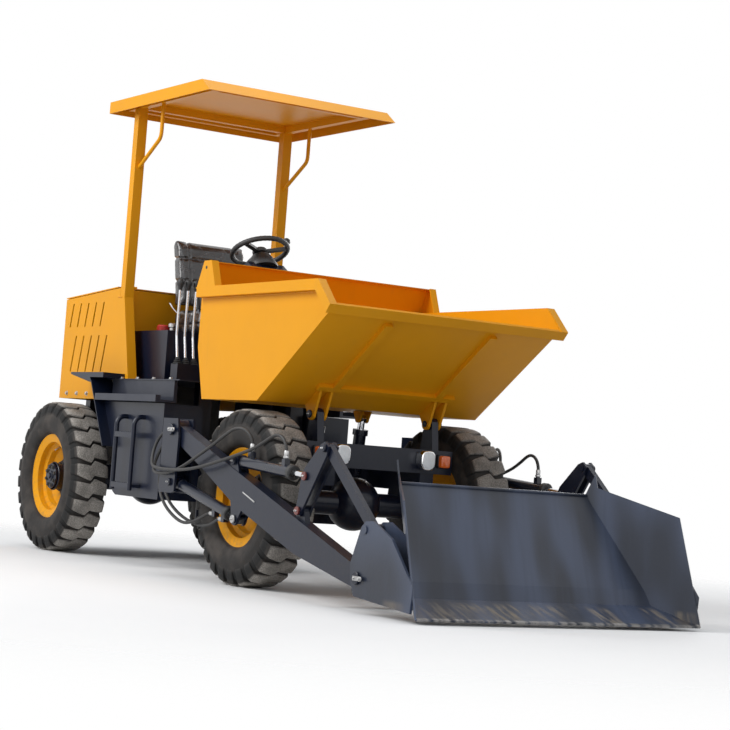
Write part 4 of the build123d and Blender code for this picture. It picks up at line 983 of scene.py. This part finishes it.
def make_seat(crown):
    low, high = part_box("seat_cushion")
    inset = crown + 0.002
    front, rear = high.x - inset, low.x + inset
    top, bottom = high.z - inset, low.z + inset * 0.5
    seat = [(rear, bottom), (front - 0.03, bottom), (front, bottom + 0.05), (front, top - 0.03)]
    seat += [(front - 0.06, top), (rear + 0.16, top - 0.012), (rear, top - 0.012)]
    middle = (front + rear) / 2
    seams = [
        lambda co: abs(co.y) - 0.145,
        lambda co: co.x - middle,
        lambda co: co.x - middle - 0.13,
        lambda co: co.z - bottom - 0.045,
    ]
    pad = cushion("seat_pad", "seat_cushion", seat, crown, seams)
    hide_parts("seat_cushion")

    low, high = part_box("seat_back")
    lean = 0.08
    front, rear = high.x - inset, high.x - 0.1 + inset
    height = high.z - low.z
    foot, head = low.z + inset * 0.5, high.z - inset
    back = [
        (rear, foot),
        (front, foot),
        (front + 0.004 - lean * 0.3, foot + height * 0.3),
        (front - 0.006 - lean * 0.62, foot + height * 0.62),
        (front - lean, head - 0.05),
        (front - lean - 0.028, head),
        (rear - lean + 0.016, head),
        (rear - lean, head - 0.03),
    ]
    seams = [
        lambda co: abs(co.y) - 0.15,
        lambda co: co.z - foot - height * 0.36,
        lambda co: co.z - foot - height * 0.68,
    ]
    pad = cushion("seat_back_pad", "seat_back", back, crown, seams)
    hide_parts("seat_back")


def make_seat_shell():
    """The slide rails that the seat stands on, and the handle that adjusts it."""
    low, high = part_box("seat_cushion")
    rear, front = low.x + 0.02, high.x - 0.03
    bar = [(rear, -0.008), (front, -0.008), (front, 0.01), (rear, 0.01)]
    for side, sign in SIDES.items():
        place = Vector((0, sign * 0.15 + 0.02, low.z + 0.002))
        rail = outline_block(f"seat_rail_{side}", bar, 0.04, place, AHEAD, UP)
        done(round_edges(rail, 0.003, 2), "rear_frame", "black_plastic")
    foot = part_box("seat_back")[0]
    bends = ((0.09, -0.246, 0.02), (0.15, -0.25, -0.02), (0.23, -0.25, -0.05))
    arm = [Vector((foot.x + ahead, y, foot.z + rise)) for ahead, y, rise in bends]
    rod("seat_adjuster", arm, 0.006, "rear_frame", "chrome")


# ---- controls ----
def make_lever_tops():
    """Knobs and folded rubber boots of the three levers, and the brake lever beside them."""
    low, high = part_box("control_levers")
    knob = [(0.0, 0.0), (0.0, 0.009), (0.008, 0.011), (0.03, 0.019), (0.046, 0.021)]
    knob += [(0.058, 0.017), (0.064, 0.0)]
    boot = [(0.0, 0.0), (0.0, 0.024), (0.006, 0.026), (0.011, 0.019), (0.017, 0.022)]
    boot += [(0.022, 0.015), (0.028, 0.017), (0.034, 0.01), (0.04, 0.01), (0.04, 0.0)]
    foot_x, head_x = high.x - 0.04, low.x + 0.007
    rows = (  # name, profile, x, height, finish
        ("knob", knob, head_x, high.z - 0.04, "black_plastic"),
        ("boot", boot, foot_x, low.z + LEVER_BOX - 0.002, "rubber_boot"),
    )
    for name, profile, x, height, finish in rows:
        places = [Matrix.Translation((x, -0.372 + 0.05 * index, height)) for index in range(3)]
        tops = copies(lathe(name, profile, (0, 0, 0), UP, 24), places)
        done(joined(f"lever_{name}s", tops), "rear_frame", finish, 60)
    bends = ((0.01, -0.205, 0.0), (0.02, -0.208, 0.2), (0.09, -0.21, 0.36), (0.11, -0.21, 0.42))
    stick = [Vector((foot_x - back, y, low.z + rise)) for back, y, rise in bends]
    rod("brake_lever", stick, 0.008, "rear_frame", "navy_paint")
    grip = [(0.0, 0.0), (0.0, 0.012), (0.01, 0.014), (0.09, 0.014), (0.1, 0.011), (0.1, 0.0)]
    turned("brake_grip", grip, stick[3], stick[3] - stick[2], "rear_frame", "rubber_boot", 20, 50)


def make_steering_details():
    """Finger ribs and a spinner on the wheel, its horn cap, its column, and the gauges on the console."""
    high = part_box("steering_wheel")[1]
    lean = math.radians(25)
    up = Vector((-math.sin(lean), 0, math.cos(lean)))
    ahead = Vector((math.cos(lean), 0, math.sin(lean)))
    reach, rim_radius = 0.155, 0.014
    centre = Vector((high.x - reach * math.cos(lean) - rim_radius, 0, 0))
    centre.z = high.z - reach * math.sin(lean) - rim_radius
    cap = [(0.004, 0.0), (0.004, 0.038), (0.012, 0.036), (0.018, 0.026), (0.02, 0.0)]
    turned("horn_cap", cap, centre, up, "rear_frame", "black_plastic", 32, 50)
    knob = [(0.008, 0.0), (0.008, 0.008), (0.022, 0.008), (0.03, 0.02), (0.046, 0.022)]
    knob += [(0.056, 0.014), (0.058, 0.0)]
    knob_foot = centre + Matrix.Rotation(math.radians(60), 3, up) @ ahead * reach
    turned("spinner", knob, knob_foot, up, "rear_frame", "black_plastic", 24, 60)
    count = 40
    turns = [Matrix.Rotation(math.tau * index / count, 3, up) for index in range(count)]
    ridge = [(-0.004, 0.0), (-0.004, 0.0142), (0.0, 0.0152), (0.004, 0.0142), (0.004, 0.0)]
    rib = lathe("rib", ridge, (0, 0, 0), UP, 14)
    ribs = copies(rib, [standing(centre + turn @ ahead * reach, turn @ ahead.cross(up)) for turn in turns])
    done(joined("wheel_grips", ribs), "rear_frame", "black_plastic", 50)

    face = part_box("steering_console")[1]
    rim = [(0.0, 0.026), (0.0, 0.031), (0.008, 0.031), (0.01, 0.028), (0.01, 0.026)]
    dial = [(0.0, 0.0), (0.0, 0.027), (0.004, 0.027), (0.006, 0.02), (0.006, 0.0)]
    for index, y in enumerate((-0.068, 0.0, 0.068)):
        place = Vector((face.x, y, face.z - 0.19))
        turned(f"gauge_rim_{index}", rim, place, AHEAD, "rear_frame", "chrome", 28)
        turned(f"gauge_dial_{index}", dial, place, AHEAD, "rear_frame", "gauge_glass", 28)
    bell = [(0.0, 0.025), (0.0, 0.086), (0.01, 0.088), (0.06, 0.066), (0.084, 0.05)]
    bell += [(0.09, 0.04), (0.09, 0.025)]
    turned("column_bell", bell, centre - up * 0.112, up, "rear_frame", "black_plastic", 40, 50)


def make_tank_cap():
    """A knurled red cap on the oil tank's neck, and the breather ahead of it."""
    place = Vector((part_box("seat_cushion")[0].x + 0.13, -0.33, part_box("oil_tank")[1].z - 0.03))
    profile = [(0.0, 0.0), (0.0, 0.036), (0.004, 0.039), (0.03, 0.039), (0.036, 0.034), (0.038, 0.0)]
    cap = lathe("tank_cap", profile, place, UP, 48)
    choose_faces(cap, lambda centre, normal: abs(normal.z) < 0.2)
    bpy.ops.mesh.inset(thickness=0.0009, use_individual=True)
    bpy.ops.mesh.extrude_faces_move(TRANSFORM_OT_shrink_fatten={"value": 0.0016})
    done(cap, "rear_frame", "red_cap")
    vent = [(0.0, 0.0), (0.0, 0.014), (0.02, 0.014), (0.024, 0.022), (0.04, 0.022)]
    vent += [(0.045, 0.016), (0.045, 0.0)]
    turned("breather", vent, place + AHEAD * 0.1, UP, "rear_frame", "zinc", 24)


# ---- lamps ----
def lamp_bowl(name, place, width, height, radius, depth):
    """A lamp's housing, hollowed from the front into a bowl that narrows in two steps."""
    housing = outline_block(name, rounded(width, height, radius), depth, place, ACROSS, UP)
    round_edges(housing, 0.004, 3, 60)
    choose_faces(housing, lambda centre, normal: normal.x > 0.95)
    bpy.ops.mesh.inset(thickness=0.006)
    for step, reached, share in ((0.012, 0.012, 0.82), (0.022, 0.034, 0.42)):
        bpy.ops.mesh.extrude_region_move(TRANSFORM_OT_translate={"value": (-step, 0, 0)})
        bpy.ops.transform.resize(value=(1, share, share), center_override=place + AHEAD * (depth - reached))
    bpy.ops.object.mode_set(mode="OBJECT")
    return housing


def make_headlamps():
    """Two bowls with a bulb in each, behind domed lenses."""
    low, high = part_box("headlamps")
    width, height = 0.084, high.z - low.z
    depth = high.x - low.x
    housings, lenses, bulbs = [], [], []
    for sign in SIDES.values():
        place = Vector((low.x, sign * (high.y - width / 2), (low.z + high.z) / 2))
        housings.append(lamp_bowl("housing", place, width, height, 0.032, depth - 0.004))
        outline = rounded(width - 0.009, height - 0.009, 0.028)
        lens = outline_block("lens", outline, 0.005, place + AHEAD * (depth - 0.009), ACROSS, UP)
        choose_faces(lens, lambda centre, normal: normal.x > 0.95)
        raise_faces(0.008, (0.0035, 0, 0))
        raise_faces(0.009, (0.0012, 0, 0))
        bpy.ops.object.mode_set(mode="OBJECT")
        lenses.append(lens)
        bulb = [(0.0, 0.0), (0.0, 0.01), (0.008, 0.012), (0.016, 0.009), (0.02, 0.0)]
        bulbs.append(lathe("bulb", bulb, place + AHEAD * 0.024, AHEAD, 20))
    housing = done(joined("headlamp_housings", housings), "front_frame", "reflector")
    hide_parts("headlamps")
    done(joined("headlamp_lenses", lenses), "front_frame", "clear_lens", 50)
    done(joined("headlamp_bulbs", bulbs), "front_frame", "gauge_glass", 50)


def small_lamps(name, node, body, forward, width, corner, finish):
    """Domed lenses on black bases, one on each side. forward is 1 for ahead and -1 for back."""
    low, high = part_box(node)
    depth = high.x - low.x
    height = high.z - low.z
    bases, lenses = [], []
    for sign in SIDES.values():
        back = Vector((low.x if forward > 0 else high.x, sign * (high.y - width / 2), (low.z + high.z) / 2))
        across = ACROSS * forward
        base = outline_block("base", rounded(width, height, corner), depth * 0.35, back, across, UP)
        bases.append(round_edges(base, 0.002, 2))
        start = back + AHEAD * forward * depth * 0.3
        outline = rounded(width - 0.008, height - 0.008, max(0.004, corner - 0.004))
        lens = outline_block("lens", outline, depth * 0.66, start, across, UP)
        lenses.append(round_edges(lens, 0.006, 3))
    base = done(joined(f"{name}_bases", bases), body, "black_plastic")
    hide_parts(node)
    done(joined(f"{name}_lenses", lenses), body, finish, 50)


# ---- hood, canopy, deck and shovel ----
def make_hood_fittings():
    """Latches, the lid's grab handle, dark sheets of painted shade behind the louvres, and the hood's flange
    bolts.
    """
    low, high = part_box("hood_lid")
    hasp_outline = [(-0.02, -0.03), (0.02, -0.03), (0.02, 0.03), (-0.02, 0.03)]
    for side, sign in SIDES.items():
        place = (low.x - 0.001, sign * 0.34, low.z + 0.03 - 0.065)
        hasp = outline_block(f"latch_{side}", hasp_outline, 0.007, place, ACROSS * -1, UP)
        round_edges(hasp, 0.003, 2)
        choose_faces(hasp, lambda centre, normal: normal.x < -0.95)
        bpy.ops.mesh.inset(thickness=0.007)
        bpy.ops.mesh.extrude_region_move(TRANSFORM_OT_translate={"value": (-0.008, 0, 0)})
        done(hasp, "rear_frame", "chrome")
    grip_z, foot_z = high.z - 0.035, low.z + 0.034
    bends = ((-0.09, foot_z, 0.0), (-0.09, foot_z, 0.028), (-0.085, grip_z, 0.01))
    bends += ((0.085, grip_z, 0.01), (0.09, foot_z, 0.028), (0.09, foot_z, 0.0))
    grab = [Vector((low.x + 0.1, y, z)) + UP * rise for y, z, rise in bends]
    rod("lid_handle", grab, 0.007, "hood_lid", "black_plastic", 60)
    low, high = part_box("hood_shell")
    # Dark sheets just behind the louvres: painted shade that darkens their slots.
    sheet = [(-0.29, -0.21), (0.3, -0.21), (0.3, 0.22), (-0.29, 0.22)]
    for side, sign in SIDES.items():
        middle = Vector((-1.756, sign * (high.y - 0.01), 1.256))
        shade_sheet = outline_block(f"louvre_baffle_{side}", sheet, 0.002, middle, AHEAD * -sign, UP)
        done(shade_sheet, "rear_frame", "rubber_boot")
    flange = [
        (Vector((low.x + 0.11 + 0.14 * index, sign * high.y, low.z + 0.03)), ACROSS * sign)
        for sign in SIDES.values()
        for index in range(5)
    ]
    bolts("hood_bolts", "rear_frame", 0.016, flange)


def make_canopy_fittings():
    """The welds round the feet of the two posts."""
    half = 0.028  # half a post's width
    corners = ((-half, -half), (half, -half), (half, half), (-half, half), (-half, -half))
    welds = []
    for sign in SIDES.values():
        centre = Vector((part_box("hood_shell")[1].x - 0.183, sign * 0.478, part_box("canopy_frame")[0].z))
        ring = [Vector((dx, dy, 0.001)) + centre for dx, dy in corners]
        for start, end in zip(ring, ring[1:]):
            welds.append(weld_bead(start, end, 0.004))
    done(joined("post_welds", welds), "rear_frame", "yellow_paint", 60)


def weld_bead(start, end, radius):
    """A rippled fillet between two points."""
    start, end = Vector(start), Vector(end)
    axis = end - start
    count = max(3, min(60, int(axis.length / (radius * 1.6))))
    profile = [(0.0, 0.0)]
    for index in range(count):
        along = axis.length * (index + 0.5) / count
        profile.append((along - radius * 0.5, radius * 0.86))
        profile.append((along + radius * 0.2, radius))
    profile.append((axis.length, 0.0))
    return lathe("bead", profile, start, axis, 8)


def make_skip_welds():
    """Fillet welds under the skip's rim, and a dark disc of painted shade for the hole in each ear of its
    rear guard.
    """
    low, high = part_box("skip")
    weld_z = low.z + 0.64 - 0.052
    welds = []
    for sign in SIDES.values():
        y = sign * (high.y - 0.038) + sign * 0.001
        welds.append(weld_bead((low.x + 0.03, y, weld_z), (high.x - 0.14, y, weld_z), 0.003))
    done(joined("skip_welds", welds), "skip", "yellow_paint", 60)
    # A thin dark disc on each ear: painted shade where the hole is.
    hole = [(-0.001, 0.0), (-0.001, 0.009), (0.0008, 0.0085), (0.0008, 0.0)]
    for side, sign in SIDES.items():
        place = Vector((low.x + 0.1, sign * high.y, high.z - 0.035))
        turned(f"guard_hole_shade_{side}", hole, place, ACROSS * sign, "skip", "rubber_boot", 20)


def make_deck_fittings():
    """The rubber mat, three pedals, the studs on the ladders' treads and the bolts along the deck."""
    low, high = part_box("deck")
    place = (high.x - 0.24, 0, high.z)
    mat = outline_block("floor_mat", rounded(0.34, 0.6, 0.03), 0.006, place, AHEAD, ACROSS)
    done(round_edges(mat, 0.002, 2), "rear_frame", "rubber_boot")
    for index, y in enumerate((-0.17, 0.17, 0.27)):
        foot = Vector((high.x - 0.06, y, high.z))
        head = foot + UP * 0.13
        stalk = [foot, foot + UP * 0.08, head - AHEAD * 0.03]
        rod(f"pedal_arm_{index}", stalk, 0.006, "rear_frame", "navy_paint")
        outline = rounded(0.06, 0.08, 0.01)
        pad = outline_block(f"pedal_{index}", outline, 0.01, head - AHEAD * 0.035, ACROSS, (-0.5, 0, 0.86))
        done(round_edges(pad, 0.002, 2), "rear_frame", "rubber_boot")
    foot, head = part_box("step_ladders")
    places = [
        Matrix.Translation((foot.x + 0.03 + 0.0225 * index, sign * head.y - sign * 0.012, tread + 0.014))
        for sign in SIDES.values()
        for tread in (foot.z + 0.025, foot.z + 0.3)
        for index in range(9)
    ]
    stud = lathe("stud", [(0.0, 0.0), (0.0, 0.005), (0.0025, 0.004), (0.0035, 0.0)], (0, 0, 0), UP, 10)
    done(joined("tread_studs", copies(stud, places)), "rear_frame", "navy_paint", 60)
    rail = [
        (Vector((low.x + 0.16 + 0.2 * index, sign * 0.52, high.z)), UP)
        for sign in SIDES.values()
        for index in range(4)
    ]
    bolts("deck_bolts", "rear_frame", 0.017, rail)


def make_tank_fittings():
    """The drain plugs of the side tanks."""
    low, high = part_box("side_tanks")
    profile = [(-0.002, 0.0), (-0.002, 0.02), (0.006, 0.02), (0.009, 0.016), (0.009, 0.0)]
    for side, sign in SIDES.items():
        out = ACROSS * sign
        place = Vector((low.x + 0.4, sign * high.y, low.z + 0.06))
        turned(f"tank_plug_{side}", profile, place, out, "rear_frame", "zinc", 24)
        bolts(f"tank_plug_head_{side}", "rear_frame", 0.019, [(place + out * 0.008, out)])


def make_shovel_fittings():
    """The rolled bar along the shovel's top edge."""
    pivot = pin_at("shovel_tilt")
    lip = [(-0.006, -0.009), (0.01, -0.009), (0.014, 0.0), (0.01, 0.006), (-0.006, 0.006)]
    place = (pivot.x - 0.11, 0.518, pivot.z + 0.422 - 0.003)
    bar = outline_block("shovel_top_bar", lip, 1.036, place, AHEAD, UP)
    done(round_edges(bar, 0.002, 2), "shovel", "shovel_steel")


# ---- studio ----
def make_camera(studio):
    camera = bpy.data.cameras.new("camera")
    camera.lens = studio.lens
    camera.clip_end = 100
    holder = bpy.data.objects.new("camera", camera)
    bpy.context.collection.objects.link(holder)
    turn, tilt = studio.camera_turn, studio.camera_tilt
    forward = Vector((-math.cos(turn) * math.cos(tilt), math.sin(turn) * math.cos(tilt), math.sin(tilt)))
    right = forward.cross(UP).normalized()
    up = right.cross(forward)
    roll = studio.camera_roll
    right, up = right * math.cos(roll) + up * math.sin(roll), up * math.cos(roll) - right * math.sin(roll)
    facing = Matrix((right, up, -forward)).transposed().to_4x4()
    holder.matrix_world = Matrix.Translation(studio.camera_place) @ facing
    bpy.context.scene.camera = holder


def make_floor():
    """A pale disc that fades out before its rim, so it has no edge."""
    clear_selection()
    bpy.ops.mesh.primitive_circle_add(vertices=96, radius=9.0, fill_type="NGON")
    floor = bpy.context.object
    floor.name = "floor"
    choose_faces(floor, lambda centre, normal: True)
    bpy.ops.mesh.inset(thickness=4.0)
    bpy.ops.object.mode_set(mode="OBJECT")
    finish = Finish("pale_floor", roughness=0.85)
    finish.feed("Base Color", finish.colours((0.8, 0.8, 0.8), (0.84, 0.84, 0.84), finish.noise(0.8, 2)))
    reach = (finish.x * finish.x + finish.y * finish.y).math("SQRT")
    clear = finish.add("ShaderNodeBsdfTransparent")
    inputs = {0: reach.between(2.2, 5.4), 1: finish.shader.outputs[0], 2: clear.outputs[0]}
    mix = finish.add("ShaderNodeMixShader", inputs=inputs)
    output = finish.tree.nodes["Material Output"]
    finish.tree.links.new(mix.outputs[0], output.inputs["Surface"])
    floor.data.materials.append(finish.material)


def make_lights(power):
    """Soft boxes: a large one high on the machine's right, weak ones in front and above, and one behind."""
    rows = (  # name, place, size, power
        ("key", (-1.0, -6.5, 5.2), 4.5, power),
        ("fill", (7.0, -2.5, 2.6), 4.0, power * 0.16),
        ("top", (0.0, 0.0, 7.0), 5.0, power * 0.4),
        ("edge", (-3.5, 6.0, 3.5), 3.0, power * 0.3),
    )
    aim = Vector((0.2, 0, 0.8))
    for name, place, size, watts in rows:
        lamp = bpy.data.lights.new(name, "AREA")
        lamp.shape = "SQUARE"
        lamp.size = size
        lamp.energy = watts
        holder = bpy.data.objects.new(name, lamp)
        holder.location = place
        holder.rotation_euler = (aim - Vector(place)).to_track_quat("-Z", "Y").to_euler()
        bpy.context.collection.objects.link(holder)


def make_surround():
    """White where it is seen, also in a mirror or through glass, and softer and bluer where it lights."""
    world = bpy.data.worlds.new("surround")
    world.use_nodes = True
    bpy.context.scene.world = world
    tree = world.node_tree
    light = tree.nodes["Background"]
    light.inputs["Color"].default_value = (0.86, 0.92, 1.0, 1)
    light.inputs["Strength"].default_value = 0.26
    white = tree.nodes.new("ShaderNodeBackground")
    white.inputs["Color"].default_value = (1, 1, 1, 1)
    white.inputs["Strength"].default_value = 1.0
    rays = tree.nodes.new("ShaderNodeLightPath")
    mix = tree.nodes.new("ShaderNodeMixShader")
    seen = rays.outputs["Is Camera Ray"]
    for other in ("Is Glossy Ray", "Is Transmission Ray"):
        either = tree.nodes.new("ShaderNodeMath")
        either.operation = "MAXIMUM"
        tree.links.new(seen, either.inputs[0])
        tree.links.new(rays.outputs[other], either.inputs[1])
        seen = either.outputs[0]
    tree.links.new(seen, mix.inputs[0])
    tree.links.new(light.outputs[0], mix.inputs[1])
    tree.links.new(white.outputs[0], mix.inputs[2])
    tree.links.new(mix.outputs[0], tree.nodes["World Output"].inputs["Surface"])


# ---- operators ----
class AddCamera(bpy.types.Operator):
    """Adds the camera"""

    bl_idname = "dumper.camera"
    bl_label = "Camera"

    def execute(self, context):
        make_camera(context.scene.dumper_studio)
        return {"FINISHED"}


class AddFinishes(bpy.types.Operator):
    """Makes the paints, metals, rubber and lenses, and gives them to the frame's nodes"""

    bl_idname = "dumper.finishes"
    bl_label = "Finishes"

    def execute(self, context):
        make_finishes(context.scene.dumper_colours)
        return {"FINISHED"}


class AddHoses(bpy.types.Operator):
    """Adds the hydraulic hoses of the loader and their fittings"""

    bl_idname = "dumper.hoses"
    bl_label = "Hoses"

    def execute(self, context):
        diameter = context.scene.dumper_pieces.hose
        for row in HOSES:
            make_hose(*row, diameter)
        make_hose_fittings(diameter / 2)
        return {"FINISHED"}


class AddTyres(bpy.types.Operator):
    """Adds the four tyres with their tread"""

    bl_idname = "dumper.tyres"
    bl_label = "Tyres"

    def execute(self, context):
        for corner in CORNERS:
            make_tyre(corner, context.scene.dumper_wheels)
        return {"FINISHED"}


class AddWheelFittings(bpy.types.Operator):
    """Adds wheel nuts, hub bolts and valves"""

    bl_idname = "dumper.wheel_fittings"
    bl_label = "Wheel fittings"

    def execute(self, context):
        for corner in CORNERS:
            make_wheel_fittings(corner, context.scene.dumper_wheels)
        return {"FINISHED"}


class AddPins(bpy.types.Operator):
    """Adds pin heads, keepers and the cylinders' glands"""

    bl_idname = "dumper.pins"
    bl_label = "Pins and glands"

    def execute(self, context):
        make_pins()
        make_ram_glands()
        return {"FINISHED"}


class AddSeat(bpy.types.Operator):
    """Adds the padded seat with its rails"""

    bl_idname = "dumper.seat"
    bl_label = "Seat"

    def execute(self, context):
        make_seat(context.scene.dumper_pieces.seat_crown)
        make_seat_shell()
        return {"FINISHED"}


class AddControls(bpy.types.Operator):
    """Adds the levers' knobs and boots, the steering wheel's details, the gauges and the tank's cap"""

    bl_idname = "dumper.controls"
    bl_label = "Controls"

    def execute(self, context):
        make_lever_tops()
        make_steering_details()
        make_tank_cap()
        return {"FINISHED"}


class AddLamps(bpy.types.Operator):
    """Adds headlamps, turn signals and tail lamps"""

    bl_idname = "dumper.lamps"
    bl_label = "Lamps"

    def execute(self, context):
        make_headlamps()
        small_lamps("turn_signal", "turn_signals", "front_frame", 1, 0.062, 0.014, "amber_lens")
        small_lamps("tail_lamp", "tail_lamps", "rear_frame", -1, 0.1, 0.008, "red_lens")
        return {"FINISHED"}


class AddBodyFittings(bpy.types.Operator):
    """Adds what is bolted and welded to the hood, canopy, skip, deck, tanks and shovel"""

    bl_idname = "dumper.body_fittings"
    bl_label = "Body fittings"

    def execute(self, context):
        make_hood_fittings()
        make_canopy_fittings()
        make_skip_welds()
        make_deck_fittings()
        make_tank_fittings()
        make_shovel_fittings()
        return {"FINISHED"}


class AddStudio(bpy.types.Operator):
    """Adds the floor, the lights and the surround"""

    bl_idname = "dumper.studio"
    bl_label = "Studio"

    def execute(self, context):
        make_floor()
        make_lights(context.scene.dumper_studio.key_power)
        make_surround()
        bpy.context.scene.view_settings.view_transform = "Standard"
        return {"FINISHED"}


STEPS = (
    AddCamera,
    AddFinishes,
    AddHoses,
    AddTyres,
    AddWheelFittings,
    AddPins,
    AddSeat,
    AddControls,
    AddLamps,
    AddBodyFittings,
    AddStudio,
)


class DumperPanel(bpy.types.Panel):
    """Lists the steps in order"""

    bl_idname = "VIEW3D_PT_dumper"
    bl_label = "Site dumper"
    bl_space_type = "VIEW_3D"
    bl_region_type = "UI"
    bl_category = "Dumper"

    def draw(self, context):
        for step in STEPS:
            self.layout.operator(step.bl_idname)
        scene = context.scene
        for group in (scene.dumper_wheels, scene.dumper_pieces, scene.dumper_colours):
            for name in group.bl_rna.properties.keys():
                if name not in ("rna_type", "name"):
                    self.layout.prop(group, name)


GROUPS = {
    "dumper_wheels": WheelSizes,
    "dumper_pieces": PieceSizes,
    "dumper_colours": FinishColours,
    "dumper_studio": StudioSizes,
}


def register():
    for kind in (*GROUPS.values(), *STEPS, DumperPanel):
        bpy.utils.register_class(kind)
    for name, kind in GROUPS.items():
        setattr(bpy.types.Scene, name, bpy.props.PointerProperty(type=kind))


def unregister():
    for name in GROUPS:
        delattr(bpy.types.Scene, name)
    for kind in (DumperPanel, *STEPS, *GROUPS.values()):
        bpy.utils.unregister_class(kind)


def main():
    register()
    for step in STEPS:
        group, name = step.bl_idname.split(".")
        getattr(getattr(bpy.ops, group), name)()


if __name__ == "__main__":
    main()
